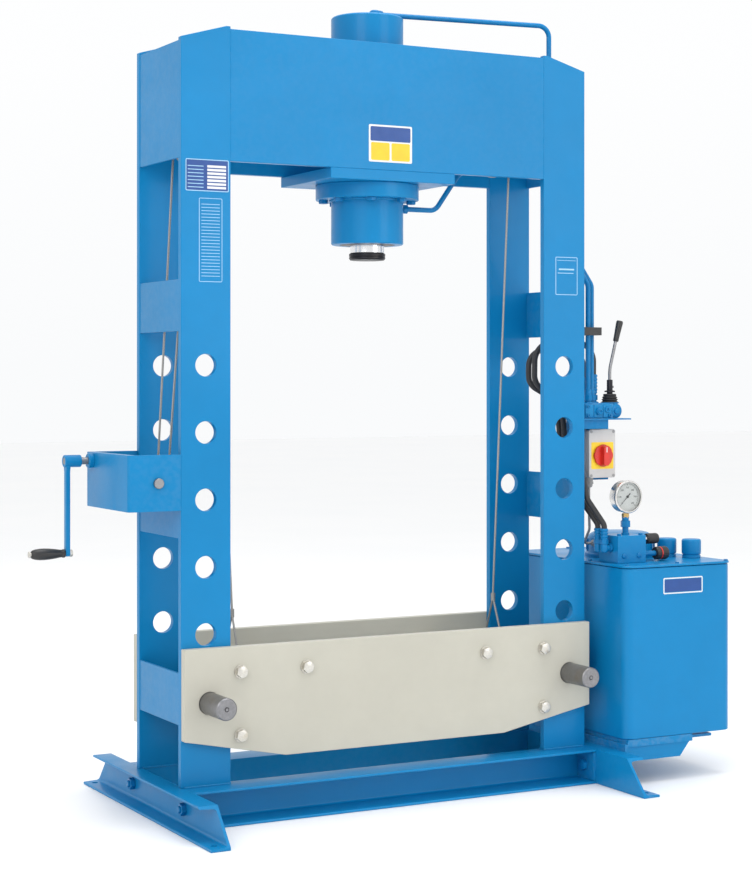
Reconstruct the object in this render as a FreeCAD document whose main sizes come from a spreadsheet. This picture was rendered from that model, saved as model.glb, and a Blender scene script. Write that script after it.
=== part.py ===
"""Hydraulic H-frame workshop press with a rope-lifted bolster and a side-mounted power pack.

Frame: X runs across the two columns, Y from front (-) to rear (+), Z up from the floor.
The origin lies on the floor, under the axis of the ram. All sizes are in millimetres.
"""
import FreeCAD, Part
import math
import os
import Sketcher

from FreeCAD import Rotation, Vector

doc = FreeCAD.newDocument("workshop_press")
sheet = doc.addObject("Spreadsheet::Sheet", "Sizes")
nodes = []


# ---------------------------------------------------------------- sizes
class Size:
    """A value with the expression that gives it, so that objects can be bound to the sheet."""

    def __init__(self, text, value):
        self.text = text
        self.value = value

    def _join(self, sign, other, value, swap=False):
        left, right = (text_of(other), self.text) if swap else (self.text, text_of(other))
        return Size("(%s %s %s)" % (left, sign, right), value)

    def __add__(self, other):
        return self._join("+", other, self.value + number(other))

    def __radd__(self, other):
        return self._join("+", other, number(other) + self.value, swap=True)

    def __sub__(self, other):
        return self._join("-", other, self.value - number(other))

    def __rsub__(self, other):
        return self._join("-", other, number(other) - self.value, swap=True)

    def __mul__(self, other):
        return self._join("*", other, self.value * number(other))

    def __rmul__(self, other):
        return self._join("*", other, number(other) * self.value, swap=True)

    def __truediv__(self, other):
        return self._join("/", other, self.value / number(other))

    def __neg__(self):
        return Size("(0 - %s)" % self.text, -self.value)


def number(value):
    return value.value if isinstance(value, Size) else float(value)


def text_of(value):
    return value.text if isinstance(value, Size) else "(%.6f)" % value


def size(alias, value):
    """Write one driving dimension into the sheet and return it."""
    row = size.row = getattr(size, "row", 0) + 1
    sheet.set("A%d" % row, alias)
    sheet.set("B%d" % row, str(value))
    sheet.setAlias("B%d" % row, alias)
    return Size("Sizes." + alias, float(value))


# frame
span = size("frame_span", 1300)
half_span = span / 2
depth = size("frame_depth", 326)
bar_width = size("bar_width", 145)
bar_thick = size("bar_thickness", 20)
bar_top = size("bar_top", 2153)
bar_slope = size("bar_top_slope", 38)
bar_flat = size("bar_top_flat", 12)
base_height = size("base_height", 100)
cheek_height = size("cheek_height", 359)
cheek_drop = size("cheek_below_bar_top", 7)
cheek_thick = size("cheek_thickness", 20)
batten_thick = size("batten_thickness", 8)
batten_inset = size("batten_inset", 2)
batten_height = size("batten_height", 140)
batten_low = size("batten_low", 265)
batten_mid = size("batten_mid", 768)
batten_high = size("batten_high", 1325)
end_panel_height = size("end_panel_height", 316)
hole_pitch = size("hole_pitch", 181.5)
hole_rows = 6
pin_height = size("pin_height", 326)
pin_radius = size("pin_radius", 30)
pin_play = size("pin_play", 0.5)
pin_length = size("pin_length", 500)
pin_front = size("pin_front", 115)
# base
foot_length = size("foot_length", 948)
foot_end_slope = size("foot_end_slope", 84)
foot_width = size("foot_width", 55)
foot_reach = size("foot_reach", 47)
foot_outer = half_span + foot_reach
channel_wall = size("channel_wall", 8)
rail_width = size("rail_width", 95)
rail_front = size("rail_front", 235)
anchor_radius = size("anchor_radius", 9)
anchor_inset = size("anchor_inset", 34)
base_bolt_radius = size("base_bolt_radius", 10)
# bolster
bolster_thick = size("bolster_thickness", 25)
bolster_top = size("bolster_top", 473)
bolster_end_height = size("bolster_end_height", 246)
bolster_height = size("bolster_height", 306)
bolster_chamfer = size("bolster_chamfer", 300)
bolster_play = size("bolster_play", 0.5)
spacer_radius = size("spacer_radius", 17)
bolster_bolt_radius = size("bolster_bolt_radius", 10)
washer = size("washer_thickness", 3)
bolt_play = size("bolt_play", 0.5)
sling_bar_x = size("sling_bar_place", 430)
sling_bar_z = size("sling_bar_height", 396)
# cylinder
barrel_radius = size("barrel_radius", 105)
bore_radius = size("bore_radius", 80)
barrel_bottom = size("barrel_bottom", 1585)
barrel_top = size("barrel_top", 2244)
barrel_head = size("barrel_head", 60)
plate_half = size("cylinder_plate_half_width", 200)
plate_thick = size("cylinder_plate_thickness", 30)
flange_rim = size("flange_rim", 45)
flange_radius = barrel_radius + flange_rim
flange_thick = size("flange_thickness", 43)
flange_bolt_gap = size("flange_bolt_gap", 23)
flange_circle = barrel_radius + flange_bolt_gap
flange_bolt_radius = size("flange_bolt_radius", 8)
gland_length = size("gland_length", 80)
rod_radius = size("rod_radius", 50)
fit_play = size("sliding_fit_play", 0.05)
seat_play = size("seat_play", 0.1)
piston_length = size("piston_length", 70)
piston_gap = size("piston_gap", 14)
rod_stub = size("rod_stub", 25)
tip_radius = size("tip_radius", 53)
tip_height = size("tip_height", 19)
# lifting gear
rope_radius = size("rope_radius", 3)
rope_play = size("rope_play", 0.4)
pulley_radius = size("pulley_radius", 56)
pulley_height = size("pulley_height", 1850)
left_pulley_inset = size("left_pulley_inset", 102)
left_pulley_x = left_pulley_inset - half_span
right_pulley_x = size("right_pulley_place", 354)
cross_rope_y = size("cross_rope_place", -127)
left_rope_y = size("left_rope_place", 0)
right_drum_y = size("right_rope_drum_place", -77)
pulley_width = size("pulley_width", 28)
axle_radius = size("axle_radius", 9)
collar = size("collar_length", 5)
sling_x = size("sling_place", 429)
sling_z = size("sling_height", 552)
winch_width = size("winch_width", 150)
winch_bottom = size("winch_bottom", 843)
winch_height = size("winch_height", 151)
winch_wall = size("winch_wall", 6)
drum_gap = size("drum_gap", 65)
drum_x = -half_span - drum_gap
drum_z = size("drum_height", 918)
drum_radius = size("drum_radius", 58)
drum_shaft_radius = size("drum_shaft_radius", 14)
worm_y = size("worm_place", 112)
worm_radius = size("worm_radius", 14)
wheel_radius = size("worm_wheel_radius", 38)
mesh_play = size("mesh_play", 0.5)
crank_length = size("crank_length", 253)
crank_gap = size("crank_gap", 73)
crank_x = -half_span - winch_width - crank_gap
grip_length = size("grip_length", 96)
# pipes and hoses
pipe_radius = size("pipe_radius", 7.5)
pipe_bend = size("pipe_bend", 34)
hose_radius = size("hose_radius", 8.5)
# valve and switch
valve_y = size("valve_place", -110)
lever_gap = size("lever_gap", 128)
lever_x = half_span + lever_gap
lever_pivot_z = size("lever_pivot_height", 1115)
bracket_z = size("bracket_height", 1077)
switch_front = size("switch_front", -120)
switch_depth = size("switch_depth", 49.5)
switch_gap = size("switch_gap", 94)
switch_x = half_span + switch_gap
switch_width = size("switch_width", 96)
switch_z = size("switch_height", 970)
switch_tall = size("switch_tall", 147)
knob_radius = size("switch_knob_radius", 34)
# power pack
tank_gap = size("tank_gap", 50)
tank_x = half_span + tank_gap
tank_width = size("tank_width", 391)
tank_length = size("tank_length", 610)
tank_bottom = size("tank_bottom", 133)
tank_height = size("tank_height", 505)
tank_wall = size("tank_wall", 3)
tank_corner = size("tank_corner", 30)
lid_thick = size("lid_thickness", 7)
pad_thick = size("pad_thickness", 13)
bracket_drop = size("bracket_drop", 51)
motor_gap = size("motor_gap", 195)
motor_x = tank_x + motor_gap
motor_radius = size("motor_radius", 80)
manifold_gap = size("manifold_gap", 28)
manifold_x = tank_x + manifold_gap
manifold_front = size("manifold_front", -225)
manifold_wide = size("manifold_width", 102)
manifold_deep = size("manifold_depth", 100)
manifold_tall = size("manifold_height", 82)
gauge_rise = size("gauge_rise", 114)
gauge_radius = size("gauge_radius", 50)
gauge_depth = size("gauge_depth", 38)


# ---------------------------------------------------------------- building blocks
def bind(obj, **properties):
    for name, value in properties.items():
        obj.setExpression(name.replace("__", "."), text_of(value))


def place(obj, x, y, z):
    bind(obj, Placement__Base__x=x, Placement__Base__y=y, Placement__Base__z=z)
    return obj


TURNS = {
    "x": Rotation(Vector(0, 1, 0), 90),
    "y": Rotation(Vector(1, 0, 0), -90),
    "z": Rotation(),
    "-x": Rotation(Vector(0, 1, 0), -90),
    "-y": Rotation(Vector(1, 0, 0), 90),
    "-z": Rotation(Vector(1, 0, 0), 180),
}


def block(x, y, z, name="block"):
    """A box between the given (low, high) pairs."""
    obj = doc.addObject("Part::Box", name)
    bind(obj, Length=x[1] - x[0], Width=y[1] - y[0], Height=z[1] - z[0])
    return place(obj, x[0], y[0], z[0])


def rod(axis, radius, length, at, name="rod"):
    """A cylinder that starts at a point and runs along an axis."""
    obj = doc.addObject("Part::Cylinder", name)
    obj.Placement.Rotation = TURNS[axis]
    bind(obj, Radius=radius, Height=length)
    return place(obj, *at)


def cone(axis, start_radius, end_radius, length, at, name="cone"):
    obj = doc.addObject("Part::Cone", name)
    obj.Placement.Rotation = TURNS[axis]
    bind(obj, Radius1=start_radius, Radius2=end_radius, Height=length)
    return place(obj, *at)


def hexagon(axis, radius, length, at, name="hexagon"):
    """A hexagonal prism, as on a nut or a bolt head."""
    obj = doc.addObject("Part::Prism", name)
    obj.Polygon = 6
    obj.Placement.Rotation = TURNS[axis]
    bind(obj, Circumradius=radius, Height=length)
    return place(obj, *at)


def ring(axis, radius, wire, at):
    obj = doc.addObject("Part::Torus", "ring")
    obj.Placement.Rotation = TURNS[axis]
    bind(obj, Radius1=radius, Radius2=wire)
    return place(obj, *at)


def fuse(*parts):
    obj = doc.addObject("Part::MultiFuse", "fused")
    obj.Shapes = list(parts)
    return obj


def cut(base, *tools):
    obj = doc.addObject("Part::Cut", "cut")
    obj.Base = base
    obj.Tool = tools[0] if len(tools) == 1 else fuse(*tools)
    return obj


def group(*parts):
    obj = doc.addObject("Part::Compound", "group")
    obj.Links = list(parts)
    return obj


def node(label, obj):
    """Name a finished sub-part."""
    obj.Label = label
    nodes.append(obj)
    return obj


def tube(axis, outer, inner, length, at):
    return cut(rod(axis, outer, length, at), rod(axis, inner, length, at))


def plane_of(body, role):
    return next(feature for feature in body.Origin.OriginFeatures if feature.Role == role)


def pin_vertex(sketch, geometry, vertex, point):
    """Tie one sketch point to the origin by its two coordinates."""
    for value, kind, axis in ((point[0], "DistanceX", -2), (point[1], "DistanceY", -1)):
        if number(value) == 0:
            sketch.addConstraint(Sketcher.Constraint("PointOnObject", geometry, vertex, axis))
            continue
        constraint = Sketcher.Constraint(kind, -1, 1, geometry, vertex, number(value))
        index = sketch.addConstraint(constraint)
        sketch.setExpression("Constraints[%d]" % index, text_of(value))


def outline_sketch(body, plane, points, holes=()):
    """A closed polygon with round holes, each point held by its own coordinates."""
    sketch = body.newObject("Sketcher::SketchObject", "outline")
    sketch.AttachmentSupport = [(plane_of(body, plane), "")]
    sketch.MapMode = "FlatFace"
    spots = [Vector(number(a), number(b), 0) for a, b in points]
    for start, end in zip(spots, spots[1:] + spots[:1]):
        sketch.addGeometry(Part.LineSegment(start, end))
    for index in range(len(points)):
        following = (index + 1) % len(points)
        sketch.addConstraint(Sketcher.Constraint("Coincident", index, 2, following, 1))
        pin_vertex(sketch, index, 1, points[index])
    for a, b, radius in holes:
        circle = Part.Circle(Vector(number(a), number(b), 0), Vector(0, 0, 1), number(radius))
        index = sketch.addGeometry(circle)
        pin_vertex(sketch, index, 3, (a, b))
        ring = sketch.addConstraint(Sketcher.Constraint("Radius", index, number(radius)))
        sketch.setExpression("Constraints[%d]" % ring, text_of(radius))
    return sketch


def padded(plane, points, length, at, holes=(), corner=None, name="plate"):
    """An outline padded along its plane's normal: XY up, XZ to the front, YZ to the right."""
    body = doc.addObject("PartDesign::Body", name)
    pad = body.newObject("PartDesign::Pad", "pad")
    pad.Profile = outline_sketch(body, plane, points, holes)
    bind(pad, Length=length)
    if corner is not None:
        doc.recompute()
        upright = [
            "Edge%d" % (index + 1)
            for index, edge in enumerate(pad.Shape.Edges)
            if abs(edge.Length - number(length)) < 1e-6 and edge.Vertexes[0].Z != edge.Vertexes[1].Z
        ]
        fillet = body.newObject("PartDesign::Fillet", "round")
        fillet.Base = (pad, upright)
        bind(fillet, Radius=corner)
    return place(body, *at)


def rectangle(x, y):
    return [(x[0], y[0]), (x[1], y[0]), (x[1], y[1]), (x[0], y[1])]


def turned(axis, profile, at, name="turned"):
    """A turned piece: (radius, height) points spun about the axis that starts at a point."""
    body = doc.addObject("PartDesign::Body", name)
    spin = body.newObject("PartDesign::Revolution", "spin")
    sketch = outline_sketch(body, "XZ_Plane", profile)
    spin.Profile = sketch
    spin.ReferenceAxis = (sketch, ["V_Axis"])
    spin.Angle = 360
    body.Placement.Rotation = TURNS[axis] if isinstance(axis, str) else axis
    return place(body, *at)


def hex_bolt(axis, radius, length, at, name="hex_bolt"):
    """A hexagon bolt with its head before the point and its shank beyond it."""
    head = hexagon("-" + axis if axis[0] != "-" else axis[1], radius * 1.7, radius * 1.25, at)
    return fuse(head, rod(axis, radius, length, at))


def route(points, bends, radius, name="route"):
    """A round tube along straight runs that are joined by tangent arcs."""
    spots = [Vector(*[number(value) for value in point]) for point in points]
    edges = []
    last = spots[0]
    for index, bend in enumerate(bends, start=1):
        corner = spots[index]
        back = (spots[index - 1] - corner).normalize()
        ahead = (spots[index + 1] - corner).normalize()
        half = back.getAngle(ahead) / 2
        reach = number(bend) / math.tan(half)
        start = corner + back * reach
        end = corner + ahead * reach
        middle = corner + (back + ahead).normalize() * (number(bend) / math.sin(half) - number(bend))
        if last.distanceToPoint(start) > 0.01:
            edges.append(Part.LineSegment(last, start).toShape())
        else:
            start = last
        edges.append(Part.Arc(start, middle, end).toShape())
        last = end
    edges.append(Part.LineSegment(last, spots[-1]).toShape())
    path = Part.Wire(edges)
    ring = Part.Wire([Part.Circle(spots[0], spots[1] - spots[0], number(radius)).toShape()])
    shape = path.makePipeShell([ring], True, False)
    section = math.pi * number(radius) ** 2
    error = abs(shape.Volume / (section * path.Length) - 1)
    print("%s: length %.0f, volume error %.4f" % (name, path.Length, error))
    assert error < 0.01, name
    obj = doc.addObject("Part::Feature", name)
    obj.Shape = shape
    return obj


# ---------------------------------------------------------------- frame
half_depth = depth / 2
inner_x = half_span - bar_width
pin_x = half_span - bar_width / 2
cheek_top = bar_top - cheek_drop
cheek_bottom = cheek_top - cheek_height
hole_radius = pin_radius + pin_play


def column_bar(side, front):
    """An upright flat bar with its row of pin holes and its sloping top."""
    points = [
        (side * half_span, base_height),
        (side * inner_x, base_height),
        (side * inner_x, bar_top),
        (side * (inner_x + bar_flat), bar_top),
        (side * half_span, bar_top - bar_slope),
    ]
    holes = [(side * pin_x, pin_height + hole_pitch * row, hole_radius) for row in range(hole_rows)]
    back_y = bar_thick - half_depth if front else half_depth
    return padded("XZ_Plane", points, bar_thick, (0, back_y, 0), holes, name="bar")


for side, side_name in ((-1, "left"), (1, "right")):
    node(side_name + "_front_bar", column_bar(side, True))
    node(side_name + "_rear_bar", column_bar(side, False))


def side_plate(side, bottom, height):
    """A flat plate that closes the outer side of a column between its two bars."""
    outer = half_span - batten_inset
    inner = outer - batten_thick
    x = (inner, outer) if side > 0 else (-outer, -inner)
    y = (bar_thick - half_depth, half_depth - bar_thick)
    return block(x, y, (bottom, bottom + height), name="side_plate")


end_panel_bottom = cheek_bottom + 5
side_plates = []
for side in (-1, 1):
    side_plates.append(side_plate(side, end_panel_bottom, end_panel_height))
    for bottom in (batten_low, batten_mid, batten_high):
        side_plates.append(side_plate(side, bottom, batten_height))
node("side_plates", group(*side_plates))

cheeks = [
    block((-inner_x, inner_x), y, (cheek_bottom, cheek_top), name="cheek")
    for y in ((-half_depth, cheek_thick - half_depth), (half_depth - cheek_thick, half_depth))
]
node("beam_cheeks", group(*cheeks))


# ---------------------------------------------------------------- base
foot_inner = foot_outer - foot_width
half_foot = foot_length / 2
rail_middle = rail_front - rail_width / 2
base_bolt_z = base_height / 2


def foot(side):
    """A channel with its flanges outward, its ends sloped and its lower flange drilled."""
    web = (foot_inner, foot_inner + channel_wall)
    points = [
        (side * foot_inner, 0),
        (side * foot_outer, 0),
        (side * foot_outer, channel_wall),
        (side * web[1], channel_wall),
        (side * web[1], base_height - channel_wall),
        (side * foot_outer, base_height - channel_wall),
        (side * foot_outer, base_height),
        (side * foot_inner, base_height),
    ]
    channel = padded("XZ_Plane", points, foot_length, (0, half_foot, 0), name="channel")
    low_x = foot_inner - 1 if side > 0 else -foot_outer - 1
    tools = []
    for end in (-1, 1):
        wedge = [
            (end * half_foot, channel_wall),
            (end * (half_foot + 5), channel_wall),
            (end * (half_foot + 5), base_height + 1),
            (end * (half_foot - foot_end_slope), base_height + 1),
        ]
        tools.append(padded("YZ_Plane", wedge, foot_width + 2, (low_x, 0, 0), name="end_cut"))
        anchor_x = side * (foot_outer - foot_width / 2 + channel_wall / 2)
        anchor = (anchor_x, end * (half_foot - anchor_inset), -1)
        tools.append(rod("z", anchor_radius, channel_wall + 2, anchor))
        bolt_hole = (low_x, end * rail_middle, base_bolt_z)
        tools.append(rod("x", base_bolt_radius + bolt_play, foot_width + 2, bolt_hole))
    return cut(channel, *tools)


def rail(front):
    """A channel between the feet, open outward, with a bolting plate in each end."""
    near = rail_front - rail_width
    points = [
        (near, 0),
        (rail_front, 0),
        (rail_front, channel_wall),
        (near + channel_wall, channel_wall),
        (near + channel_wall, base_height - channel_wall),
        (rail_front, base_height - channel_wall),
        (rail_front, base_height),
        (near, base_height),
    ]
    facing = -1 if front else 1
    outline = [(facing * y, z) for y, z in points]
    channel = padded("YZ_Plane", outline, foot_inner * 2, (-foot_inner, 0, 0), name="rail")
    plates = []
    holes = []
    for side in (-1, 1):
        x = (-foot_inner, channel_wall - foot_inner) if side < 0 else (foot_inner - channel_wall, foot_inner)
        y = (-rail_front, -near) if front else (near, rail_front)
        plates.append(block(x, y, (0, base_height), name="end_plate"))
        spot = (x[0] - 1, facing * rail_middle, base_bolt_z)
        holes.append(rod("x", base_bolt_radius + bolt_play, channel_wall + 2, spot))
    return cut(fuse(channel, *plates), *holes)


node("left_foot", foot(-1))
node("right_foot", foot(1))
node("base_rails", group(rail(True), rail(False)))


# ---------------------------------------------------------------- cylinder and ram
flange_top = cheek_bottom - plate_thick
flange_bottom = flange_top - flange_thick
bolt_angles = [22.5 + 45 * turn for turn in range(8)]


def on_circle(radius, angle):
    return radius * math.cos(math.radians(angle)), radius * math.sin(math.radians(angle))


def flange_holes(bottom, length):
    spots = [on_circle(flange_circle, angle) for angle in bolt_angles]
    radius = flange_bolt_radius + bolt_play
    return [rod("z", radius, length, (x, y, bottom)) for x, y in spots]


seat = barrel_radius + seat_play
plate_body = block((-plate_half, plate_half), (-half_depth, half_depth), (flange_top, cheek_bottom))
plate_bore = rod("z", seat, plate_thick, (0, 0, flange_top))
node("cylinder_plate", cut(plate_body, plate_bore, *flange_holes(flange_top, plate_thick)))
flange_body = rod("z", flange_radius, flange_thick, (0, 0, flange_bottom))
flange_bore = rod("z", seat, flange_thick, (0, 0, flange_bottom))
node("cylinder_flange", cut(flange_body, flange_bore, *flange_holes(flange_bottom, flange_thick)))

barrel_shell = turned("z", [
    (bore_radius, barrel_bottom),
    (barrel_radius, barrel_bottom),
    (barrel_radius, barrel_top),
    (0, barrel_top),
    (0, barrel_top - barrel_head),
    (bore_radius, barrel_top - barrel_head),
], (0, 0, 0), name="barrel")
port_radius = size("port_radius", 6)
top_port_x = size("top_port_place", 25)
side_port_z = size("side_port_height", 1695)
ports = [
    rod("z", port_radius, barrel_head + 2, (top_port_x, 0, barrel_top - barrel_head - 1)),
    rod("x", port_radius, barrel_radius - bore_radius + 10, (bore_radius - 5, 0, side_port_z)),
]
node("cylinder_barrel", cut(barrel_shell, *ports))

gland_bore = rod_radius + fit_play
node("rod_gland", turned("z", [
    (gland_bore, barrel_bottom),
    (bore_radius - seat_play, barrel_bottom),
    (bore_radius - seat_play, barrel_bottom + gland_length),
    (gland_bore, barrel_bottom + gland_length),
], (0, 0, 0), name="gland"))

piston_top = barrel_top - barrel_head - piston_gap
piston_bottom = piston_top - piston_length
spigot_radius = rod_radius * 0.6
tip_top = barrel_bottom - rod_stub
tip_bottom = tip_top - tip_height
tip_spigot = rod_radius / 2
node("ram_piston", turned("z", [
    (spigot_radius + seat_play, piston_bottom),
    (bore_radius - fit_play, piston_bottom),
    (bore_radius - fit_play, piston_top),
    (spigot_radius + seat_play, piston_top),
], (0, 0, 0), name="piston"))
node("ram_rod", turned("z", [
    (0, tip_bottom + 4),
    (tip_spigot, tip_bottom + 4),
    (tip_spigot, tip_top),
    (rod_radius, tip_top),
    (rod_radius, piston_bottom),
    (spigot_radius, piston_bottom),
    (spigot_radius, piston_top),
    (0, piston_top),
], (0, 0, 0), name="ram_rod"))
node("ram_tip", turned("z", [
    (0, tip_bottom),
    (tip_radius - 2, tip_bottom),
    (tip_radius, tip_bottom + 2),
    (tip_radius, tip_top),
    (tip_spigot + seat_play, tip_top),
    (tip_spigot + seat_play, tip_bottom + 4),
    (0, tip_bottom + 4),
], (0, 0, 0), name="ram_tip"))


# ---------------------------------------------------------------- frame bolts
def base_bolt(side, facing):
    """A bolt through a rail's end plate and a foot's web, with its nut outside."""
    inner = foot_inner - channel_wall
    grip = channel_wall * 2
    spot = (side * inner, facing * rail_middle, base_bolt_z)
    bolt = hex_bolt("x" if side > 0 else "-x", base_bolt_radius, grip + 20, spot)
    nut_spot = (side * (inner + grip), facing * rail_middle, base_bolt_z)
    nut = hexagon("x" if side > 0 else "-x", base_bolt_radius * 1.7, base_bolt_radius * 1.4, nut_spot)
    return fuse(bolt, nut)


frame_bolts = [base_bolt(side, facing) for side in (-1, 1) for facing in (-1, 1)]
for angle in bolt_angles:
    x, y = on_circle(flange_circle, angle)
    stack = flange_thick + plate_thick
    bolt = hex_bolt("z", flange_bolt_radius, stack + 16, (x, y, flange_bottom))
    nut = hexagon("z", flange_bolt_radius * 1.7, flange_bolt_radius * 1.5, (x, y, cheek_bottom))
    frame_bolts.append(fuse(bolt, nut))
node("frame_bolts", group(*frame_bolts))


# ---------------------------------------------------------------- bolster and lifting pins
plate_inner = half_depth + bolster_play
bolster_bolt_spots = [
    (side * x, z)
    for side in (-1, 1)
    for x, z in (
        (size("inner_bolt_place_%s" % ("left" if side < 0 else "right"), 288), bolster_top - 68),
        (inner_x - spacer_radius - 1, bolster_top - 68),
        (inner_x - spacer_radius - 1, bolster_top - 240),
    )
]


def bolster_plate(front):
    low = bolster_top - bolster_height
    low_end = bolster_top - bolster_end_height
    points = [
        (-half_span, bolster_top),
        (-half_span, low_end),
        (bolster_chamfer - half_span, low),
        (half_span - bolster_chamfer, low),
        (half_span, low_end),
        (half_span, bolster_top),
    ]
    holes = [(side * pin_x, pin_height, hole_radius) for side in (-1, 1)]
    holes += [(x, z, bolster_bolt_radius + bolt_play) for x, z in bolster_bolt_spots]
    back_y = -plate_inner if front else plate_inner + bolster_thick
    return padded("XZ_Plane", points, bolster_thick, (0, back_y, 0), holes, name="bolster_plate")


node("bolster_plates", group(bolster_plate(True), bolster_plate(False)))
spacers = [
    tube("y", spacer_radius, bolster_bolt_radius + bolt_play, plate_inner * 2, (x, -plate_inner, z))
    for x, z in bolster_bolt_spots
]
spacers += [
    rod("y", 12, plate_inner * 2, (side * sling_bar_x, -plate_inner, sling_bar_z)) for side in (-1, 1)
]
node("bolster_spacers", group(*spacers))


def bolster_bolt(x, z):
    """A long bolt through both plates and a spacer, with a washer at each end."""
    outer = plate_inner + bolster_thick
    front = -outer - washer
    pieces = [
        hex_bolt("y", bolster_bolt_radius, outer * 2 + washer * 2 + 18, (x, front, z)),
        rod("y", bolster_bolt_radius * 1.9, washer, (x, front, z)),
        rod("y", bolster_bolt_radius * 1.9, washer, (x, outer, z)),
        hexagon("y", bolster_bolt_radius * 1.7, bolster_bolt_radius * 1.5, (x, outer + washer, z)),
    ]
    return fuse(*pieces)


node("bolster_bolts", group(*[bolster_bolt(x, z) for x, z in bolster_bolt_spots]))

for side, side_name in ((-1, "left"), (1, "right")):
    front_y = -plate_inner - bolster_thick - pin_front
    node(side_name + "_pin", turned("y", [
        (0, 0),
        (pin_radius - 2, 0),
        (pin_radius, 2),
        (pin_radius, pin_length - 2),
        (pin_radius - 2, pin_length),
        (0, pin_length),
    ], (side * pin_x, front_y, pin_height), name="pin"))


# ---------------------------------------------------------------- winch
housing_outer = -half_span - winch_width
winch_top = winch_bottom + winch_height
worm_z = drum_z + wheel_radius + worm_radius + mesh_play
wall_y = half_depth - winch_wall
boss_radius = size("boss_radius", 20)
crank_shaft_radius = size("crank_shaft_radius", 10)


def winch_housing():
    """A folded box, open on top and towards the column, that carries both winch shafts."""
    walls = [
        block((housing_outer, -half_span), (-half_depth, -wall_y), (winch_bottom, winch_top)),
        block((housing_outer, -half_span), (wall_y, half_depth), (winch_bottom, winch_top)),
        block(
            (housing_outer, housing_outer + winch_wall),
            (-half_depth, half_depth),
            (winch_bottom, winch_top),
        ),
        block(
            (housing_outer, -half_span),
            (-half_depth, half_depth),
            (winch_bottom, winch_bottom + winch_wall),
        ),
        block(
            (housing_outer, housing_outer + 22),
            (-half_depth, half_depth),
            (winch_top - winch_wall, winch_top),
        ),
        rod("x", boss_radius, winch_wall + 30, (housing_outer - 15, worm_y, worm_z)),
    ]
    shaft_hole = rod("y", drum_shaft_radius + fit_play, depth + 2, (drum_x, -half_depth - 1, drum_z))
    worm_hole = rod("x", crank_shaft_radius + fit_play, winch_wall + 40, (housing_outer - 20, worm_y, worm_z))
    return cut(fuse(*walls), shaft_hole, worm_hole)


node("winch_housing", winch_housing())

drum_front = size("drum_front", -120)
drum_long = size("drum_length", 190)
cheek = size("drum_cheek", 6)
drum_flange = drum_radius + 2 * rope_radius + 0.5
shaft_overhang = size("shaft_overhang", 9)
drum_body = turned("y", [
    (0, -half_depth - shaft_overhang),
    (drum_shaft_radius, -half_depth - shaft_overhang),
    (drum_shaft_radius, drum_front),
    (drum_flange, drum_front),
    (drum_flange, drum_front + cheek),
    (drum_radius, drum_front + cheek),
    (drum_radius, drum_front + drum_long - cheek),
    (drum_flange, drum_front + drum_long - cheek),
    (drum_flange, drum_front + drum_long),
    (drum_shaft_radius, drum_front + drum_long),
    (drum_shaft_radius, half_depth + shaft_overhang),
    (0, half_depth + shaft_overhang),
], (drum_x, 0, drum_z), name="drum")
rope_step = size("rope_step", 6.6)
wraps = []
for start, way in ((left_rope_y, 1), (right_drum_y, -1)):
    for turn in range(1, 5):
        y = start + way * (turn * rope_step + 0.5)
        wraps.append(ring("y", drum_radius + rope_radius, rope_radius, (drum_x, y, drum_z)))
node("winch_drum", fuse(drum_body, *wraps))

wheel_width = size("worm_wheel_width", 24)
wheel_blank = tube("y", wheel_radius, drum_shaft_radius + seat_play, wheel_width,
                   (drum_x, worm_y - wheel_width / 2, drum_z))
tooth_count = 24
grooves = []
for tooth in range(tooth_count):
    dx, dz = on_circle(wheel_radius, 360 * tooth / tooth_count)
    grooves.append(rod("y", 2.2, wheel_width, (drum_x + dx, worm_y - wheel_width / 2, drum_z + dz)))
node("worm_wheel", cut(wheel_blank, *grooves))

worm_long = size("worm_length", 60)
worm_start = drum_x - worm_long / 2
shaft_reach = drum_x + worm_long / 2 - (crank_x - 10)
worm_profile = [
    (0, 0),
    (crank_shaft_radius, 0),
    (crank_shaft_radius, worm_start - (crank_x - 10)),
    (worm_radius, worm_start - (crank_x - 10)),
    (worm_radius, shaft_reach),
    (0, shaft_reach),
]
node("worm_shaft", turned("x", worm_profile, (crank_x - 10, worm_y, worm_z), name="worm_shaft"))

hub_radius = size("hub_radius", 17)
arm_half = size("crank_arm_half_width", 9)
arm_thick = size("crank_arm_thickness", 12)
spindle_radius = size("spindle_radius", 6)
grip_z = worm_z - crank_length
hub = tube("x", hub_radius, crank_shaft_radius + seat_play, 48, (crank_x - 10, worm_y, worm_z))
arm = block((crank_x - 6, crank_x - 6 + arm_thick), (worm_y - arm_half, worm_y + arm_half),
            (grip_z, worm_z - hub_radius + 3))
arm_foot = rod("x", arm_half, arm_thick, (crank_x - 6, worm_y, grip_z))
spindle = rod("-x", spindle_radius, grip_length + 14, (crank_x + 6, worm_y, grip_z))
spindle_head = rod("-x", spindle_radius * 1.5, 4, (crank_x + 6 - grip_length - 14, worm_y, grip_z))
spindle_nut = hexagon("x", spindle_radius * 1.7, 8, (crank_x + 6, worm_y, grip_z))
node("crank_arm", fuse(hub, arm, arm_foot, spindle, spindle_head, spindle_nut))
grip_bore = spindle_radius + fit_play
node("crank_grip", turned("-x", [
    (grip_bore, 0),
    (11, 0),
    (15, 30),
    (16, 60),
    (14, grip_length - 6),
    (10, grip_length),
    (grip_bore, grip_length),
], (crank_x - 7, worm_y, grip_z), name="grip"))


# ---------------------------------------------------------------- pulleys and ropes
groove_bottom = pulley_radius - rope_radius - rope_play


def pulley(x, y):
    """A grooved sheave on a horizontal axle."""
    half = pulley_width / 2
    rim = pulley_radius + 6
    return turned("y", [
        (axle_radius + fit_play, -half),
        (rim, -half),
        (rim, 1 - half),
        (groove_bottom, -10),
        (groove_bottom, 10),
        (rim, half - 1),
        (rim, half),
        (axle_radius + fit_play, half),
    ], (x, y, pulley_height), name="pulley")


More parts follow.
